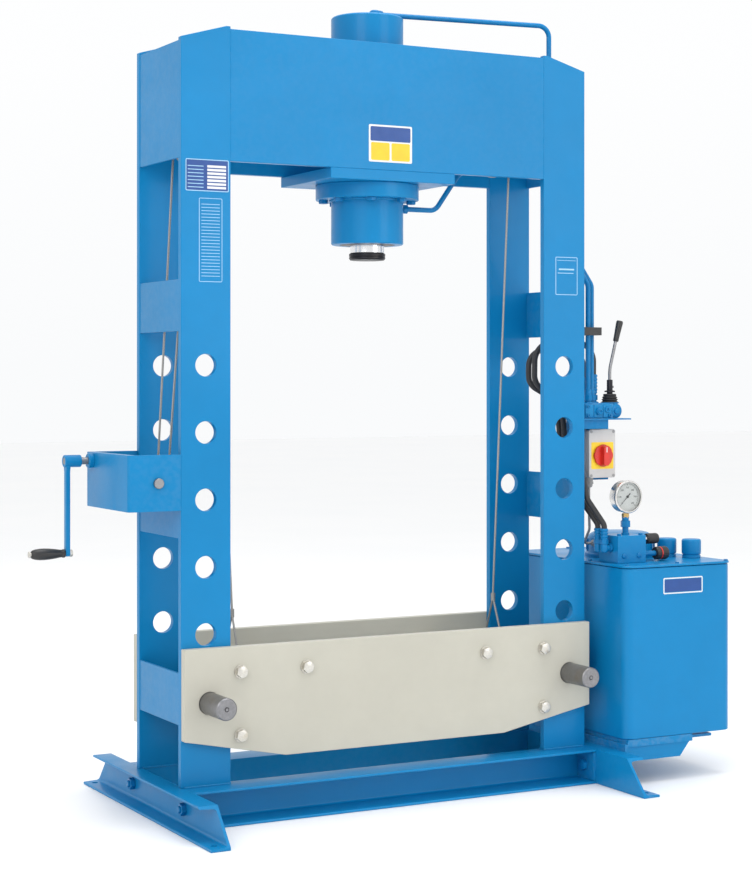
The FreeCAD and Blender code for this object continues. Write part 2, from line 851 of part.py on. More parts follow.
node("left_pulleys", group(pulley(left_pulley_x, left_rope_y), pulley(left_pulley_x, cross_rope_y)))
node("right_pulley", pulley(right_pulley_x, cross_rope_y))
axle_long = depth - cheek_thick * 2
mounts = []
for x, places in ((left_pulley_x, (left_rope_y, cross_rope_y)), (right_pulley_x, (cross_rope_y,))):
    axle = [rod("y", axle_radius, axle_long, (x, cheek_thick - half_depth, pulley_height))]
    for y in places:
        axle.append(rod("y", axle_radius + 5, collar, (x, y + pulley_width / 2 + 0.3, pulley_height)))
    mounts.append(fuse(*axle))
node("pulley_axles", group(*mounts))


def crossing(centre, radius, point, sign, level):
    """Where a line from a point, tangent to a circle in the XZ plane, meets a level."""
    gap_x = centre[0] - point[0]
    gap_z = centre[1] - point[1]
    base = math.atan2(gap_z, gap_x)
    angle = base + sign * math.asin(radius / math.hypot(gap_x, gap_z))
    return point[0] + (level - point[1]) / math.tan(angle)


def drum_line():
    """The straight rope run between the left pulleys and the drum: its two touching points."""
    gap_x = number(drum_x - left_pulley_x)
    gap_z = number(drum_z - pulley_height)
    reach = number(drum_radius + rope_radius + rope_play)
    lean = math.atan2(-gap_x, -gap_z) - math.asin((number(pulley_radius) + reach) / math.hypot(gap_x, gap_z))
    end_x = number(drum_x) + reach * math.cos(lean)
    end_z = number(drum_z) - reach * math.sin(lean)
    return lean, end_x, end_z


rope_top = number(pulley_height + pulley_radius)
lean, drum_end_x, drum_end_z = drum_line()
turn_x = drum_end_x + (rope_top - drum_end_z) * math.tan(lean)
left_up_x = crossing((number(left_pulley_x), number(pulley_height)), number(pulley_radius),
                     (-number(sling_x), number(sling_z)), -1, rope_top)
right_up_x = crossing((number(right_pulley_x), number(pulley_height)), number(pulley_radius),
                      (number(sling_x), number(sling_z)), -1, rope_top)
node("left_rope", route([
    (-sling_x, left_rope_y, sling_z),
    (left_up_x, left_rope_y, rope_top),
    (turn_x, left_rope_y, rope_top),
    (drum_end_x, left_rope_y, drum_end_z),
], [pulley_radius] * 2, rope_radius, name="left_rope"))
node("right_rope", route([
    (sling_x, left_rope_y, sling_z),
    (right_up_x, cross_rope_y, rope_top),
    (turn_x, cross_rope_y, rope_top),
    (drum_end_x, right_drum_y, drum_end_z),
], [pulley_radius] * 2, rope_radius, name="right_rope"))

sling_ring = size("sling_ring_radius", 14)


def leg(start, end, radius):
    """A straight wire leg between two points."""
    reach = Vector(*[number(b) - number(a) for a, b in zip(start, end)])
    obj = doc.addObject("Part::Feature", "leg")
    obj.Shape = Part.makeCylinder(number(radius), reach.Length, Vector(*[number(a) for a in start]), reach)
    return obj


slings = []
for side in (-1, 1):
    x = side * sling_x
    bar_x = side * sling_bar_x
    socket = rod("z", rope_radius * 2.2, 24, (x, 0, sling_z - 24.4))
    pieces = [socket]
    for end in (-1, 1):
        foot_y = end * 52
        eye = (bar_x, foot_y, sling_bar_z)
        pieces.append(ring("y", 12 + rope_radius + 0.5, rope_radius, eye))
        pieces.append(leg((x, 0, sling_z - 14), (bar_x, foot_y, sling_bar_z + 12 + rope_radius), rope_radius))
    slings.append(fuse(*pieces))
node("rope_slings", group(*slings))


# ---------------------------------------------------------------- valve and its bracket
column_side = half_span
bracket_plate = size("bracket_plate", 4)
block_drop = size("bracket_block_height", 27)
strap_y = switch_front + switch_depth
valve_low = bracket_z
bracket_front = valve_y - 50
bracket = fuse(
    block((column_side, lever_x + 44), (bracket_front, valve_y + 50), (bracket_z - bracket_plate, bracket_z)),
    block((column_side, column_side + 95), (valve_y - 40, strap_y),
          (bracket_z - bracket_plate - block_drop, bracket_z - bracket_plate)),
    block((column_side, switch_x + 56), (strap_y, strap_y + 6), (switch_z - 82, bracket_z - bracket_plate)),
)
node("valve_bracket", bracket)

valve_height = size("valve_height", 45)
valve_top = bracket_z + valve_height
valve_core = block((column_side + 14, lever_x - 12), (valve_y - 35, valve_y + 45), (bracket_z, valve_top))
valve_end = rod("y", valve_height / 2, 62, (lever_x, valve_y - 31, bracket_z + valve_height / 2))
valve_neck = block((lever_x - 13, lever_x), (valve_y - 31, valve_y + 31), (bracket_z + 3, valve_top - 3))
boot_seat = rod("z", 25, 12, (lever_x, valve_y, valve_top - 12))
lever_socket_radius = size("lever_socket_radius", 9)
lever_well = cone("z", 12, 18, 44, (lever_x, valve_y, lever_pivot_z - 14))
lever_pin_radius = size("lever_pin_radius", 4)
pin_hole = rod("y", lever_pin_radius + fit_play, 60, (lever_x, valve_y - 30, lever_pivot_z))
node("valve_body", cut(fuse(valve_core, valve_end, valve_neck, boot_seat), lever_well, pin_hole))

boot_height = size("boot_height", 29)
node("valve_boot", turned("z", [
    (23, 0),
    (26, 0),
    (25, 6),
    (22, 9),
    (24, 13),
    (21, 17),
    (22.5, 21),
    (18, boot_height),
    (15.5, boot_height),
    (16.5, 20),
    (19.5, 8),
], (lever_x, valve_y, valve_top), name="boot"))

socket_top = size("lever_socket_top", 1194)
lever_lean = size("lever_lean", 28)
lever_end_z = size("lever_end", 1335)
lever_ball = turned("z", [
    (0, -10),
    (7, -8),
    (10, -2),
    (10, 4),
    (lever_socket_radius - 2, 10),
    (lever_socket_radius, 24),
    (lever_socket_radius, socket_top - lever_pivot_z),
    (0, socket_top - lever_pivot_z),
], (lever_x, valve_y, lever_pivot_z), name="lever_socket")
lever_rod = route([
    (lever_x, valve_y, socket_top - 6),
    (lever_x, valve_y, 1226),
    (lever_x + lever_lean, valve_y, lever_end_z),
], [60], 5, name="lever_rod")
lever_pin = rod("y", lever_pin_radius, 46, (lever_x, valve_y - 23, lever_pivot_z))
node("valve_lever", fuse(lever_ball, lever_rod, lever_pin))
tilt = math.degrees(math.atan2(number(lever_lean), number(lever_end_z) - 1226))
grip_start = 0.78
grip_at = (lever_x + lever_lean * grip_start, valve_y, 1226 + (lever_end_z - 1226) * grip_start)
node("lever_grip", turned(Rotation(Vector(0, 1, 0), tilt), [
    (5.1, 0),
    (8, 0),
    (9.5, 30),
    (10.5, 58),
    (7, 64),
    (0, 64),
    (0, 28),
    (5.1, 28),
], grip_at, name="lever_grip"))


# ---------------------------------------------------------------- main switch
half_switch = switch_width / 2
switch_low = switch_z - switch_tall / 2
switch_high = switch_z + switch_tall / 2
shell = block(
    (switch_x - half_switch, switch_x + half_switch),
    (switch_front, strap_y),
    (switch_low, switch_high),
)
hollow = block((switch_x - half_switch + 4, switch_x + half_switch - 4), (switch_front + 5, strap_y - 4),
               (switch_low + 4, switch_high - 4))
knob_spindle = size("knob_spindle_radius", 5)
spindle_hole = rod("y", knob_spindle + fit_play, 20, (switch_x, switch_front - 5, switch_z - 6))
cable_gap = size("cable_gland_gap", 62)
cable_x = half_span + cable_gap
cable_y = size("cable_gland_depth", -95)
gland_hole = rod("z", 6, 20, (cable_x, cable_y, switch_low - 5))
node("switch_box", cut(shell, hollow, spindle_hole, gland_hole))
knob_gap = size("knob_gap", 0.5)
knob_deep = size("knob_depth", 24)
knob_cap = rod("-y", knob_radius, knob_deep, (switch_x, switch_front - knob_gap, switch_z - 6))
knob_post = rod("y", knob_spindle, 24, (switch_x, switch_front - 4, switch_z - 6))
grip_recesses = [
    block(
        (switch_x + a, switch_x + b),
        (switch_front - knob_deep - 2, switch_front - 12),
        (switch_z - 44, switch_z + 32),
    )
    for a, b in ((-35, -11), (11, 35))
]
node("switch_knob", cut(fuse(knob_cap, knob_post), *grip_recesses))


# ---------------------------------------------------------------- tank
tank_back = tank_length / 2
tank_right = tank_x + tank_width
tank_top = tank_bottom + tank_height
lid_top = tank_top + lid_thick
tank_y = (-tank_back, tank_back)


def rounded(x, y, z, corner):
    return padded("XY_Plane", rectangle(x, y), z[1] - z[0], (0, 0, z[0]), corner=corner, name="rounded")


tank_shell = rounded((tank_x, tank_right), tank_y, (tank_bottom, tank_top), tank_corner)
tank_hollow = rounded(
    (tank_x + tank_wall, tank_right - tank_wall),
    (tank_wall - tank_back, tank_back - tank_wall),
    (tank_bottom + tank_wall, tank_top + 1),
    tank_corner - tank_wall,
)
node("tank", cut(tank_shell, tank_hollow))
lid_over = size("lid_overhang", 3)
lid_plate = rounded(
    (tank_x - lid_over, tank_right + lid_over),
    (-tank_back - lid_over, tank_back + lid_over),
    (tank_top, lid_top),
    tank_corner + lid_over,
)
cap_radius = size("cap_radius", 30)
filler_spot = (tank_x + size("filler_gap", 345), size("filler_place_y", -165))
breather_spot = (tank_x + size("breather_gap", 300), size("breather_place_y", -100))
lid_holes = [
    rod("z", motor_radius + 1, lid_thick + 2, (motor_x, 0, tank_top - 1)),
    rod("z", 16, lid_thick + 2, (filler_spot[0], filler_spot[1], tank_top - 1)),
]
node("tank_lid", cut(lid_plate, *lid_holes))

arm_top = tank_bottom - pad_thick
arm_low = arm_top - bracket_drop
arm_long = size("bracket_arm_length", 242)
arm_right = tank_x + arm_long
arm_taper = size("bracket_arm_taper", 42)
arm_plate = size("bracket_plate_thickness", 8)
arm_inset = size("bracket_arm_inset", 5)
arm_outline = [
    (foot_outer, arm_top),
    (foot_outer, arm_low),
    (arm_right - arm_taper, arm_low),
    (arm_right, arm_top),
]
arms = [
    padded("XZ_Plane", arm_outline, arm_plate, (0, back_y, 0), name="arm")
    for back_y in (arm_inset + arm_plate - tank_back, arm_plate / 2, tank_back - arm_inset)
]
shelf = block((foot_outer, arm_right), tank_y, (arm_top - arm_plate, arm_top), name="shelf")
end_wall = block((foot_outer, foot_outer + arm_plate), tank_y, (arm_low, arm_top), name="end_wall")
lugs = [
    block((arm_right - 20, arm_right + 102), (y, y + 50), (arm_top - arm_plate, arm_top))
    for y in (-tank_back + 40, tank_back - 90)
]
pads = block((foot_outer + 10, arm_right), tank_y, (arm_top, tank_bottom))
node("tank_bracket", fuse(shelf, end_wall, pads, *arms, *lugs))


# ---------------------------------------------------------------- motor, pump and lid fittings
dome_radius = size("motor_cover_radius", 110)
dome_height = size("motor_cover_height", 76)
motor_reach = size("motor_reach", 225)
motor_shell = turned("z", [
    (0, lid_top - motor_reach),
    (motor_radius, lid_top - motor_reach),
    (motor_radius, lid_top),
    (dome_radius, lid_top),
    (dome_radius, lid_top + 10),
    (dome_radius - 6, lid_top + 16),
    (dome_radius - 8, lid_top + dome_height - 16),
    (dome_radius - 30, lid_top + dome_height),
    (0, lid_top + dome_height),
], (motor_x, 0, 0), name="motor_shell")
boss_low = lid_top + 30
motor_boss = block(
    (motor_x - dome_radius - 5, motor_x - 80),
    (-40, -12),
    (boss_low, boss_low + 30),
    name="boss",
)
node("motor", fuse(motor_shell, motor_boss))
pump_top = lid_top - motor_reach
node("pump", turned("z", [
    (0, pump_top - 230),
    (36, pump_top - 230),
    (36, pump_top - 170),
    (16, pump_top - 164),
    (16, pump_top - 130),
    (46, pump_top - 124),
    (46, pump_top - 12),
    (60, pump_top - 12),
    (60, pump_top),
    (0, pump_top),
], (motor_x, 0, 0), name="pump"))

manifold_y = (manifold_front, manifold_front + manifold_deep)
manifold_right = manifold_x + manifold_wide
manifold_top = lid_top + manifold_tall
gauge_z = manifold_top + gauge_rise
gauge_x = manifold_x + 62
gauge_y = manifold_front + manifold_deep / 2
knob_bores = [
    rod("x", 9.2, 30, (manifold_right - 28, gauge_y, manifold_top - 16)),
    rod("x", 9.2, 30, (manifold_right - 28, gauge_y - 22, lid_top + 23)),
]
manifold_block = block((manifold_x, manifold_right), manifold_y, (lid_top, manifold_top))
node("manifold", cut(manifold_block, *knob_bores))

node("pressure_knob", turned("x", [
    (0, -26),
    (9.1, -26),
    (9.1, 0),
    (12, 0.5),
    (12, 36),
    (15, 37),
    (16, 44),
    (16, 74),
    (13, 78),
    (0, 78),
], (manifold_right, gauge_y, manifold_top - 16), name="pressure_knob"))
node("relief_knob", turned("x", [
    (0, -26),
    (9.1, -26),
    (9.1, 0),
    (8, 0.5),
    (8, 50),
    (19, 52),
    (20, 58),
    (20, 92),
    (16, 96),
    (0, 96),
], (manifold_right, gauge_y - 22, lid_top + 23), name="relief_knob"))

cap_height = size("cap_height", 58)
node("filler_cap", turned("z", [
    (0, -20),
    (15.9, -20),
    (15.9, 0.5),
    (cap_radius, 0.5),
    (cap_radius, cap_height - 5),
    (cap_radius - 5, cap_height),
    (0, cap_height),
], (filler_spot[0], filler_spot[1], lid_top), name="filler_cap"))
node("breather_cap", turned("z", [
    (0, 0),
    (cap_radius - 4, 0),
    (cap_radius - 4, 8),
    (cap_radius, 10),
    (cap_radius, cap_height - 5),
    (cap_radius - 5, cap_height),
    (0, cap_height),
], (breather_spot[0], breather_spot[1], lid_top), name="breather_cap"))


# ---------------------------------------------------------------- pressure gauge
gauge_foot = gauge_z - gauge_radius
stem_pieces = [
    rod("z", 9, 60, (gauge_x, gauge_y, manifold_top)),
    hexagon("z", 15, 20, (gauge_x, gauge_y, manifold_top + 22)),
    hexagon("z", 11, 14, (gauge_x, gauge_y, gauge_foot - 18)),
    rod("z", 6, 20.5, (gauge_x, gauge_y, gauge_foot - 20)),
]
gauge_shell = turned("y", [
    (0, gauge_depth / 2 - 3),
    (gauge_radius - 3, gauge_depth / 2 - 3),
    (gauge_radius - 3, 2 - gauge_depth / 2),
    (gauge_radius - 6, 2 - gauge_depth / 2),
    (gauge_radius - 6, -gauge_depth / 2),
    (gauge_radius - 1, -gauge_depth / 2),
    (gauge_radius, 3 - gauge_depth / 2),
    (gauge_radius - 2, gauge_depth / 2),
    (0, gauge_depth / 2),
], (gauge_x, gauge_y, gauge_z), name="gauge_shell")
needle_bore = 2.1
dial = cut(
    rod("y", gauge_radius - 2.5, gauge_depth - 12, (gauge_x, gauge_y + 10 - gauge_depth / 2, gauge_z)),
    rod("y", needle_bore, gauge_depth, (gauge_x, gauge_y - 5 - gauge_depth / 2, gauge_z)),
)
stem_top = fuse(*stem_pieces)
node("gauge_case", fuse(gauge_shell, dial))
node("gauge_stem", stem_top)
needle_y = gauge_y + 9.5 - gauge_depth / 2
needle_blade = padded("XZ_Plane", [
    (-1.6, -14),
    (1.6, -14),
    (0.5, 36),
    (-0.5, 36),
], 1, (0, 0, 0), name="needle_blade")
needle_blade.Placement.Rotation = Rotation(Vector(0, 1, 0), size("needle_angle", -135).value)
place(needle_blade, gauge_x, needle_y, gauge_z)
needle_boss = rod("y", 4, 2, (gauge_x, needle_y - 2, gauge_z))
needle_post = rod("y", 2, 8, (gauge_x, needle_y - 1, gauge_z))
node("gauge_needle", fuse(needle_blade, needle_boss, needle_post))


# ---------------------------------------------------------------- pipes, hoses and their ends
pipe_top_z = barrel_top + 15
riser_gap = size("riser_gap", 61)
return_riser_gap = size("return_riser_gap", 38)
riser = (column_side + riser_gap, valve_y, valve_top + 43)
return_riser = (column_side + return_riser_gap, valve_y - 15, valve_top + 43)
column_pipe = (column_side - 70, -75)
node("top_pipe", route([
    (top_port_x + 25.2, 0, pipe_top_z),
    (column_pipe[0], column_pipe[1], pipe_top_z),
    (column_pipe[0], column_pipe[1], 1700),
    (riser[0], riser[1], 1480),
    riser,
], [pipe_bend] * 3, pipe_radius, name="top_pipe"))
node("return_pipe", route([
    (barrel_radius + 30, 0, side_port_z),
    (228, 0, side_port_z),
    (306, -12, 1812),
    (column_side - 90, -105, 1812),
    (column_side - 90, -105, 1690),
    (return_riser[0], return_riser[1], 1480),
    return_riser,
], [pipe_bend] * 5, pipe_radius, name="return_pipe"))

clip_low = batten_high + 3
clip_body = block(
    (half_span - batten_inset, riser[0] + 16),
    (valve_y - 31, valve_y + 15),
    (clip_low, clip_low + 24),
)
clip_holes = [
    rod("z", pipe_radius + 0.1, 30, (spot[0], spot[1], clip_low - 3))
    for spot in (riser, return_riser)
]
node("pipe_clip", cut(clip_body, *clip_holes))

pressure_hose = [
    (column_side + 83, valve_y + 22, valve_top + 88),
    (column_side + 83, valve_y + 22, 1308),
    (column_side - 113, -65, 1308),
    (column_side - 113, -62, 1180),
    (column_side - 28, -82, 1128),
    (column_side - 28, -104, lid_top + 325),
    (column_side + 14, -125, lid_top + 280),
    (column_side + 16, -150, lid_top + 193),
    (column_side + 52, -190, lid_top + 115),
    (column_side + 52, -190, lid_top + 85),
]
return_hose = [
    (column_side + 53, valve_y + 32, valve_top + 78),
    (column_side + 53, valve_y + 32, 1284),
    (column_side - 113, -30, 1284),
    (column_side - 113, -30, 1180),
    (column_side - 28, -56, 1128),
    (column_side - 28, -78, lid_top + 325),
    (column_side + 12, -98, lid_top + 280),
    (column_side + 14, -123, lid_top + 187),
    (column_side + 50, -160, lid_top + 115),
    (column_side + 50, -160, lid_top + 85),
]
node("hoses", group(
    route(pressure_hose, [60, 60, 50, 40, 40, 52, 60, 26], hose_radius, name="pressure_hose"),
    route(return_hose, [50, 50, 44, 40, 40, 52, 60, 26], hose_radius, name="return_hose"),
))

port_z = lid_top + 45


def upright_union(x, y, low, high, radius):
    """A pipe or hose end: a hexagon nut on a short round neck."""
    neck = rod("z", radius * 0.75, high - low, (x, y, low))
    return fuse(neck, hexagon("z", radius, (high - low) * 0.55, (x, y, low + (high - low) * 0.2)))


unions = [
    upright_union(riser[0], riser[1], valve_top, riser[2], 12.5),
    upright_union(return_riser[0], return_riser[1], valve_top, return_riser[2], 12.5),
    upright_union(pressure_hose[0][0], pressure_hose[0][1], valve_top, pressure_hose[0][2], 12.5),
    upright_union(return_hose[0][0], return_hose[0][1], valve_top, return_hose[0][2], 12.5),
    block((top_port_x - 24, top_port_x + 24), (-17, 17), (barrel_top, barrel_top + 28), name="elbow"),
    fuse(
        rod("x", 10, 30, (barrel_radius, 0, side_port_z)),
        hexagon("x", 15, 18, (barrel_radius + 8, 0, side_port_z)),
    ),
]
for hose in (pressure_hose, return_hose):
    x, y, z = hose[-1]
    nut = upright_union(x, y, port_z - 12, z, 13)
    neck = rod("x", 10, manifold_x - x, (x, y, port_z))
    collar_nut = hexagon("x", 13, 10, (manifold_x - 10, y, port_z))
    unions.append(fuse(nut, neck, collar_nut))
boss_face = motor_x - dome_radius - 5
cable_end = (boss_face - 12, -26, boss_low + 15)
unions.append(upright_union(cable_x, cable_y, switch_low - 30, switch_low, 14))
unions.append(hexagon("x", 11, 12, cable_end, name="gland"))
node("pipe_unions", group(*unions))

node("switch_cable", route([
    (cable_x, cable_y, switch_low - 30),
    (cable_x, cable_y, 820),
    (column_side + 78, -75, 738),
    (column_side + 90, cable_end[1], cable_end[2]),
    cable_end,
], [30, 30, 18], 4, name="switch_cable"))


# ---------------------------------------------------------------- export
doc.recompute()
faults = [obj.Name for obj in doc.Objects if {"Invalid", "Error"} & set(obj.State)]
assert not faults, faults
for obj in nodes:
    assert not obj.Shape.isNull() and obj.Shape.isValid(), obj.Label
os.makedirs("parts", exist_ok=True)
for obj in nodes:
    obj.Shape.exportStep("parts/%s.step" % obj.Label)
print("%d nodes, %d solids" % (len(nodes), sum(len(obj.Shape.Solids) for obj in nodes)))
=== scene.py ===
"""Looks of the hydraulic workshop press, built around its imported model. Lengths are in metres."""
import math

import bmesh
import bpy
from mathutils import Matrix, Vector
from mathutils.geometry import delaunay_2d_cdt


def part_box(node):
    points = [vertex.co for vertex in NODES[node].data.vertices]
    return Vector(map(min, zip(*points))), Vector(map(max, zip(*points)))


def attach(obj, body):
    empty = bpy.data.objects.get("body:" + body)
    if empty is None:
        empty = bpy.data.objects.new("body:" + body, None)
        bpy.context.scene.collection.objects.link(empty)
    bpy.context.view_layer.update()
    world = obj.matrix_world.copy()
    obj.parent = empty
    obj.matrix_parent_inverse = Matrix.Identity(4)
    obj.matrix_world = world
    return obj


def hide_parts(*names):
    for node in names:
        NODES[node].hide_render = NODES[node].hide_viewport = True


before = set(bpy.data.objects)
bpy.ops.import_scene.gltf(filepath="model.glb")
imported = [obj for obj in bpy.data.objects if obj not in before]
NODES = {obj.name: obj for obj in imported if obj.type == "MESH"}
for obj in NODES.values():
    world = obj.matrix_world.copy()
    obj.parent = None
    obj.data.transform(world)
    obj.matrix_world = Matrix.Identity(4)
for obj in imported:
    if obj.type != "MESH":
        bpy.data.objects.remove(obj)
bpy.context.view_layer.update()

LOW = {name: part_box(name)[0] for name in NODES}
HIGH = {name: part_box(name)[1] for name in NODES}
AXES = {
    "x": Matrix(((0, 0, 1), (1, 0, 0), (0, 1, 0))),
    "y": Matrix(((1, 0, 0), (0, 0, 1), (0, 1, 0))),
    "z": Matrix.Identity(3),
}


# ------------------------------------------------------------------ camera
LENS = 92.94
SHIFT_UP = -0.0757
EYE = (-2.642, -4.990, 1.1974)
HEADING = -28.16


def add_camera():
    data = bpy.data.cameras.new("camera")
    data.sensor_fit = "HORIZONTAL"
    data.sensor_width = 36.0
    data.lens = LENS
    data.shift_y = SHIFT_UP
    data.clip_end = 60.0
    camera = bpy.data.objects.new("camera", data)
    camera.location = EYE
    camera.rotation_euler = (math.radians(90), 0, math.radians(HEADING))
    bpy.context.scene.collection.objects.link(camera)
    bpy.context.scene.camera = camera


add_camera()


# ------------------------------------------------------------------ materials
class Graph:
    """A short way to wire one material."""

    def __init__(self, name):
        self.material = bpy.data.materials.new(name)
        self.material.use_nodes = True
        self.tree = self.material.node_tree
        self.shader = self.tree.nodes["Principled BSDF"]
        self.place = self.add("ShaderNodeTexCoord").outputs["Object"]

    def add(self, kind, settings=None, **inputs):
        node = self.tree.nodes.new(kind)
        for key, value in (settings or {}).items():
            setattr(node, key, value)
        for key, value in inputs.items():
            self.feed(node.inputs[key.replace("_", " ")], value)
        return node

    def feed(self, socket, value):
        if isinstance(value, bpy.types.NodeSocket):
            self.tree.links.new(value, socket)
        else:
            socket.default_value = value

    def noise(self, scale, detail=3.0, stretch=None, rough=0.55):
        place = self.place
        if stretch:
            place = self.add("ShaderNodeMapping", Vector=place, Scale=stretch).outputs[0]
        return self.add("ShaderNodeTexNoise", Vector=place, Scale=scale, Detail=detail,
            Roughness=rough).outputs["Fac"]

    def span(self, value, low, high, start=0.0, end=1.0):
        node = self.add("ShaderNodeMapRange", Value=value)
        for key, number in (("From Min", low), ("From Max", high), ("To Min", start),
                ("To Max", end)):
            node.inputs[key].default_value = number
        return node.outputs[0]

    def mix(self, factor, first, second):
        node = self.add("ShaderNodeMix", {"data_type": "RGBA"})
        self.feed(node.inputs[0], factor)
        for index, colour in ((6, first), (7, second)):
            value = colour if isinstance(colour, bpy.types.NodeSocket) else (*colour[:3], 1.0)
            self.feed(node.inputs[index], value)
        return node.outputs[2]

    def times(self, first, second):
        node = self.add("ShaderNodeMath", {"operation": "MULTIPLY"})
        self.feed(node.inputs[0], first)
        self.feed(node.inputs[1], second)
        return node.outputs[0]

    def bump(self, height, distance, strength=1.0, under=None):
        node = self.add("ShaderNodeBump", Height=height, Distance=distance, Strength=strength)
        if under:
            self.tree.links.new(under, node.inputs["Normal"])
        return node.outputs[0]


def scaled(colour, factor):
    return tuple(min(1.0, channel * factor) for channel in colour)


# wear sets how strongly the edges are paled: partly edge wear, partly a painted edge highlight
def paint(name, colour, rough=0.34, vary=0.07, peel=0.00022, wear=0.35, coat=0.10):
    """Sprayed enamel: soft tone drift, orange peel, and paler convex edges, partly a thinner film
    and partly a painted highlight.
    """
    graph = Graph(name)
    drift = graph.span(graph.noise(2.2, 5.0), 0.3, 0.7)
    tone = graph.mix(drift, scaled(colour, 1 - vary), scaled(colour, 1 + vary))
    cloud = graph.span(graph.noise(26.0, 4.0), 0.35, 0.7, 0.0, 0.35)
    tone = graph.mix(graph.times(cloud, 0.35), tone, scaled(colour, 0.82))
    # painted highlight: convex edges, found by pointiness, are mixed towards a paler colour,
    # standing partly for thin paint and partly for light catching the edges
    edge = graph.add("ShaderNodeNewGeometry").outputs["Pointiness"]
    edge = graph.span(edge, 0.54, 0.62, 0.0, wear)
    edge = graph.times(edge, graph.span(graph.noise(60.0, 4.0), 0.4, 0.62))
    pale = tuple(channel * 0.7 + 0.12 for channel in colour)
    graph.feed(graph.shader.inputs["Base Color"], graph.mix(edge, tone, pale))
    dirt = graph.span(graph.noise(9.0, 6.0), 0.3, 0.75, rough - 0.05, rough + 0.1)
    graph.feed(graph.shader.inputs["Roughness"], dirt)
    graph.shader.inputs["Coat Weight"].default_value = coat
    graph.shader.inputs["Coat Roughness"].default_value = 0.12
    graph.shader.inputs["Specular IOR Level"].default_value = 0.18
    wave = graph.bump(graph.noise(38.0, 2.0), 0.0006, 0.35)
    graph.feed(graph.shader.inputs["Normal"], graph.bump(graph.noise(620.0, 2.0), peel, 0.5, wave))
    return graph.material


def metal(name, colour, rough=0.32, stretch=(1, 1, 1), scale=400.0, vary=0.12, scratch=0.00008,
        stain=None):
    """Machined or plated steel: tool lines, small tone changes and faint stains."""
    graph = Graph(name)
    lines = graph.noise(scale, 4.0, stretch)
    tone = graph.mix(graph.span(lines, 0.3, 0.7), scaled(colour, 1 - vary),
        scaled(colour, 1 + vary))
    if stain:
        blot = graph.span(graph.noise(24.0, 6.0), 0.52, 0.74, 0.0, 0.6)
        tone = graph.mix(blot, tone, stain)
    graph.feed(graph.shader.inputs["Base Color"], tone)
    graph.shader.inputs["Metallic"].default_value = 1.0
    wear = graph.span(graph.noise(40.0, 5.0), 0.3, 0.75, rough - 0.06, rough + 0.14)
    graph.feed(graph.shader.inputs["Roughness"], wear)
    graph.feed(graph.shader.inputs["Normal"], graph.bump(lines, scratch, 0.6))
    return graph.material


def moulded(name, colour, rough=0.5, grain=700.0, depth=0.00012, vary=0.12, coat=0.0):
    """Moulded plastic or rubber: a fine grain with slightly uneven gloss."""
    graph = Graph(name)
    tone = graph.mix(graph.span(graph.noise(30.0, 4.0), 0.3, 0.7), scaled(colour, 1 - vary),
        scaled(colour, 1 + vary))
    graph.feed(graph.shader.inputs["Base Color"], tone)
    gloss = graph.span(graph.noise(90.0, 4.0), 0.3, 0.7, rough - 0.06, rough + 0.08)
    graph.feed(graph.shader.inputs["Roughness"], gloss)
    graph.shader.inputs["Coat Weight"].default_value = coat
    graph.feed(graph.shader.inputs["Normal"], graph.bump(graph.noise(grain, 2.0), depth, 0.6))
    return graph.material


def wire_rope(name, colour):
    """Laid steel wire: slanting strands over a dark grey of painted shade in the grooves and a
    bright grey of painted highlight on the crests.
    """
    graph = Graph(name)
    slant = graph.add("ShaderNodeMapping", Vector=graph.place, Rotation=(0.0, 0.9, 0.5)).outputs[0]
    strand = graph.add("ShaderNodeTexWave", {"wave_profile": "SIN"}, Vector=slant, Scale=110.0,
        Distortion=0.6)
    band = strand.outputs["Fac"]
    # painted shade and highlight: the dark grey falls in the grooves of the strand bump, the bright
    # grey on its crests
    tone = graph.mix(band, scaled(colour, 0.35), scaled(colour, 1.25))
    graph.feed(graph.shader.inputs["Base Color"], tone)
    graph.shader.inputs["Metallic"].default_value = 0.85
    graph.feed(graph.shader.inputs["Roughness"],
        graph.span(graph.noise(300.0), 0.3, 0.7, 0.35, 0.55))
    graph.feed(graph.shader.inputs["Normal"], graph.bump(band, 0.0006, 0.8))
    return graph.material


def hose_rubber(name, colour):
    """Wrapped hydraulic hose: a fine cloth mark in black rubber."""
    graph = Graph(name)
    cloth = graph.add("ShaderNodeTexVoronoi", {"feature": "F1"}, Vector=graph.place,
        Scale=480.0).outputs["Distance"]
    tone = graph.mix(graph.span(cloth, 0.1, 0.8), scaled(colour, 1.35), scaled(colour, 0.7))
    graph.feed(graph.shader.inputs["Base Color"], tone)
    graph.feed(graph.shader.inputs["Roughness"],
        graph.span(graph.noise(120.0), 0.3, 0.7, 0.42, 0.6))
    graph.feed(graph.shader.inputs["Normal"], graph.bump(cloth, 0.00025, 0.7))
    return graph.material


def clear_glass(name):
    graph = Graph(name)
    haze = graph.span(graph.noise(40.0, 5.0), 0.35, 0.75, 0.02, 0.07)
    graph.feed(graph.shader.inputs["Roughness"], haze)
    graph.shader.inputs["Base Color"].default_value = (0.96, 0.98, 0.98, 1.0)
    graph.shader.inputs["Transmission Weight"].default_value = 1.0
    graph.shader.inputs["IOR"].default_value = 1.45
    graph.feed(graph.shader.inputs["Normal"], graph.bump(graph.noise(15.0), 0.00004, 0.3))
    return graph.material


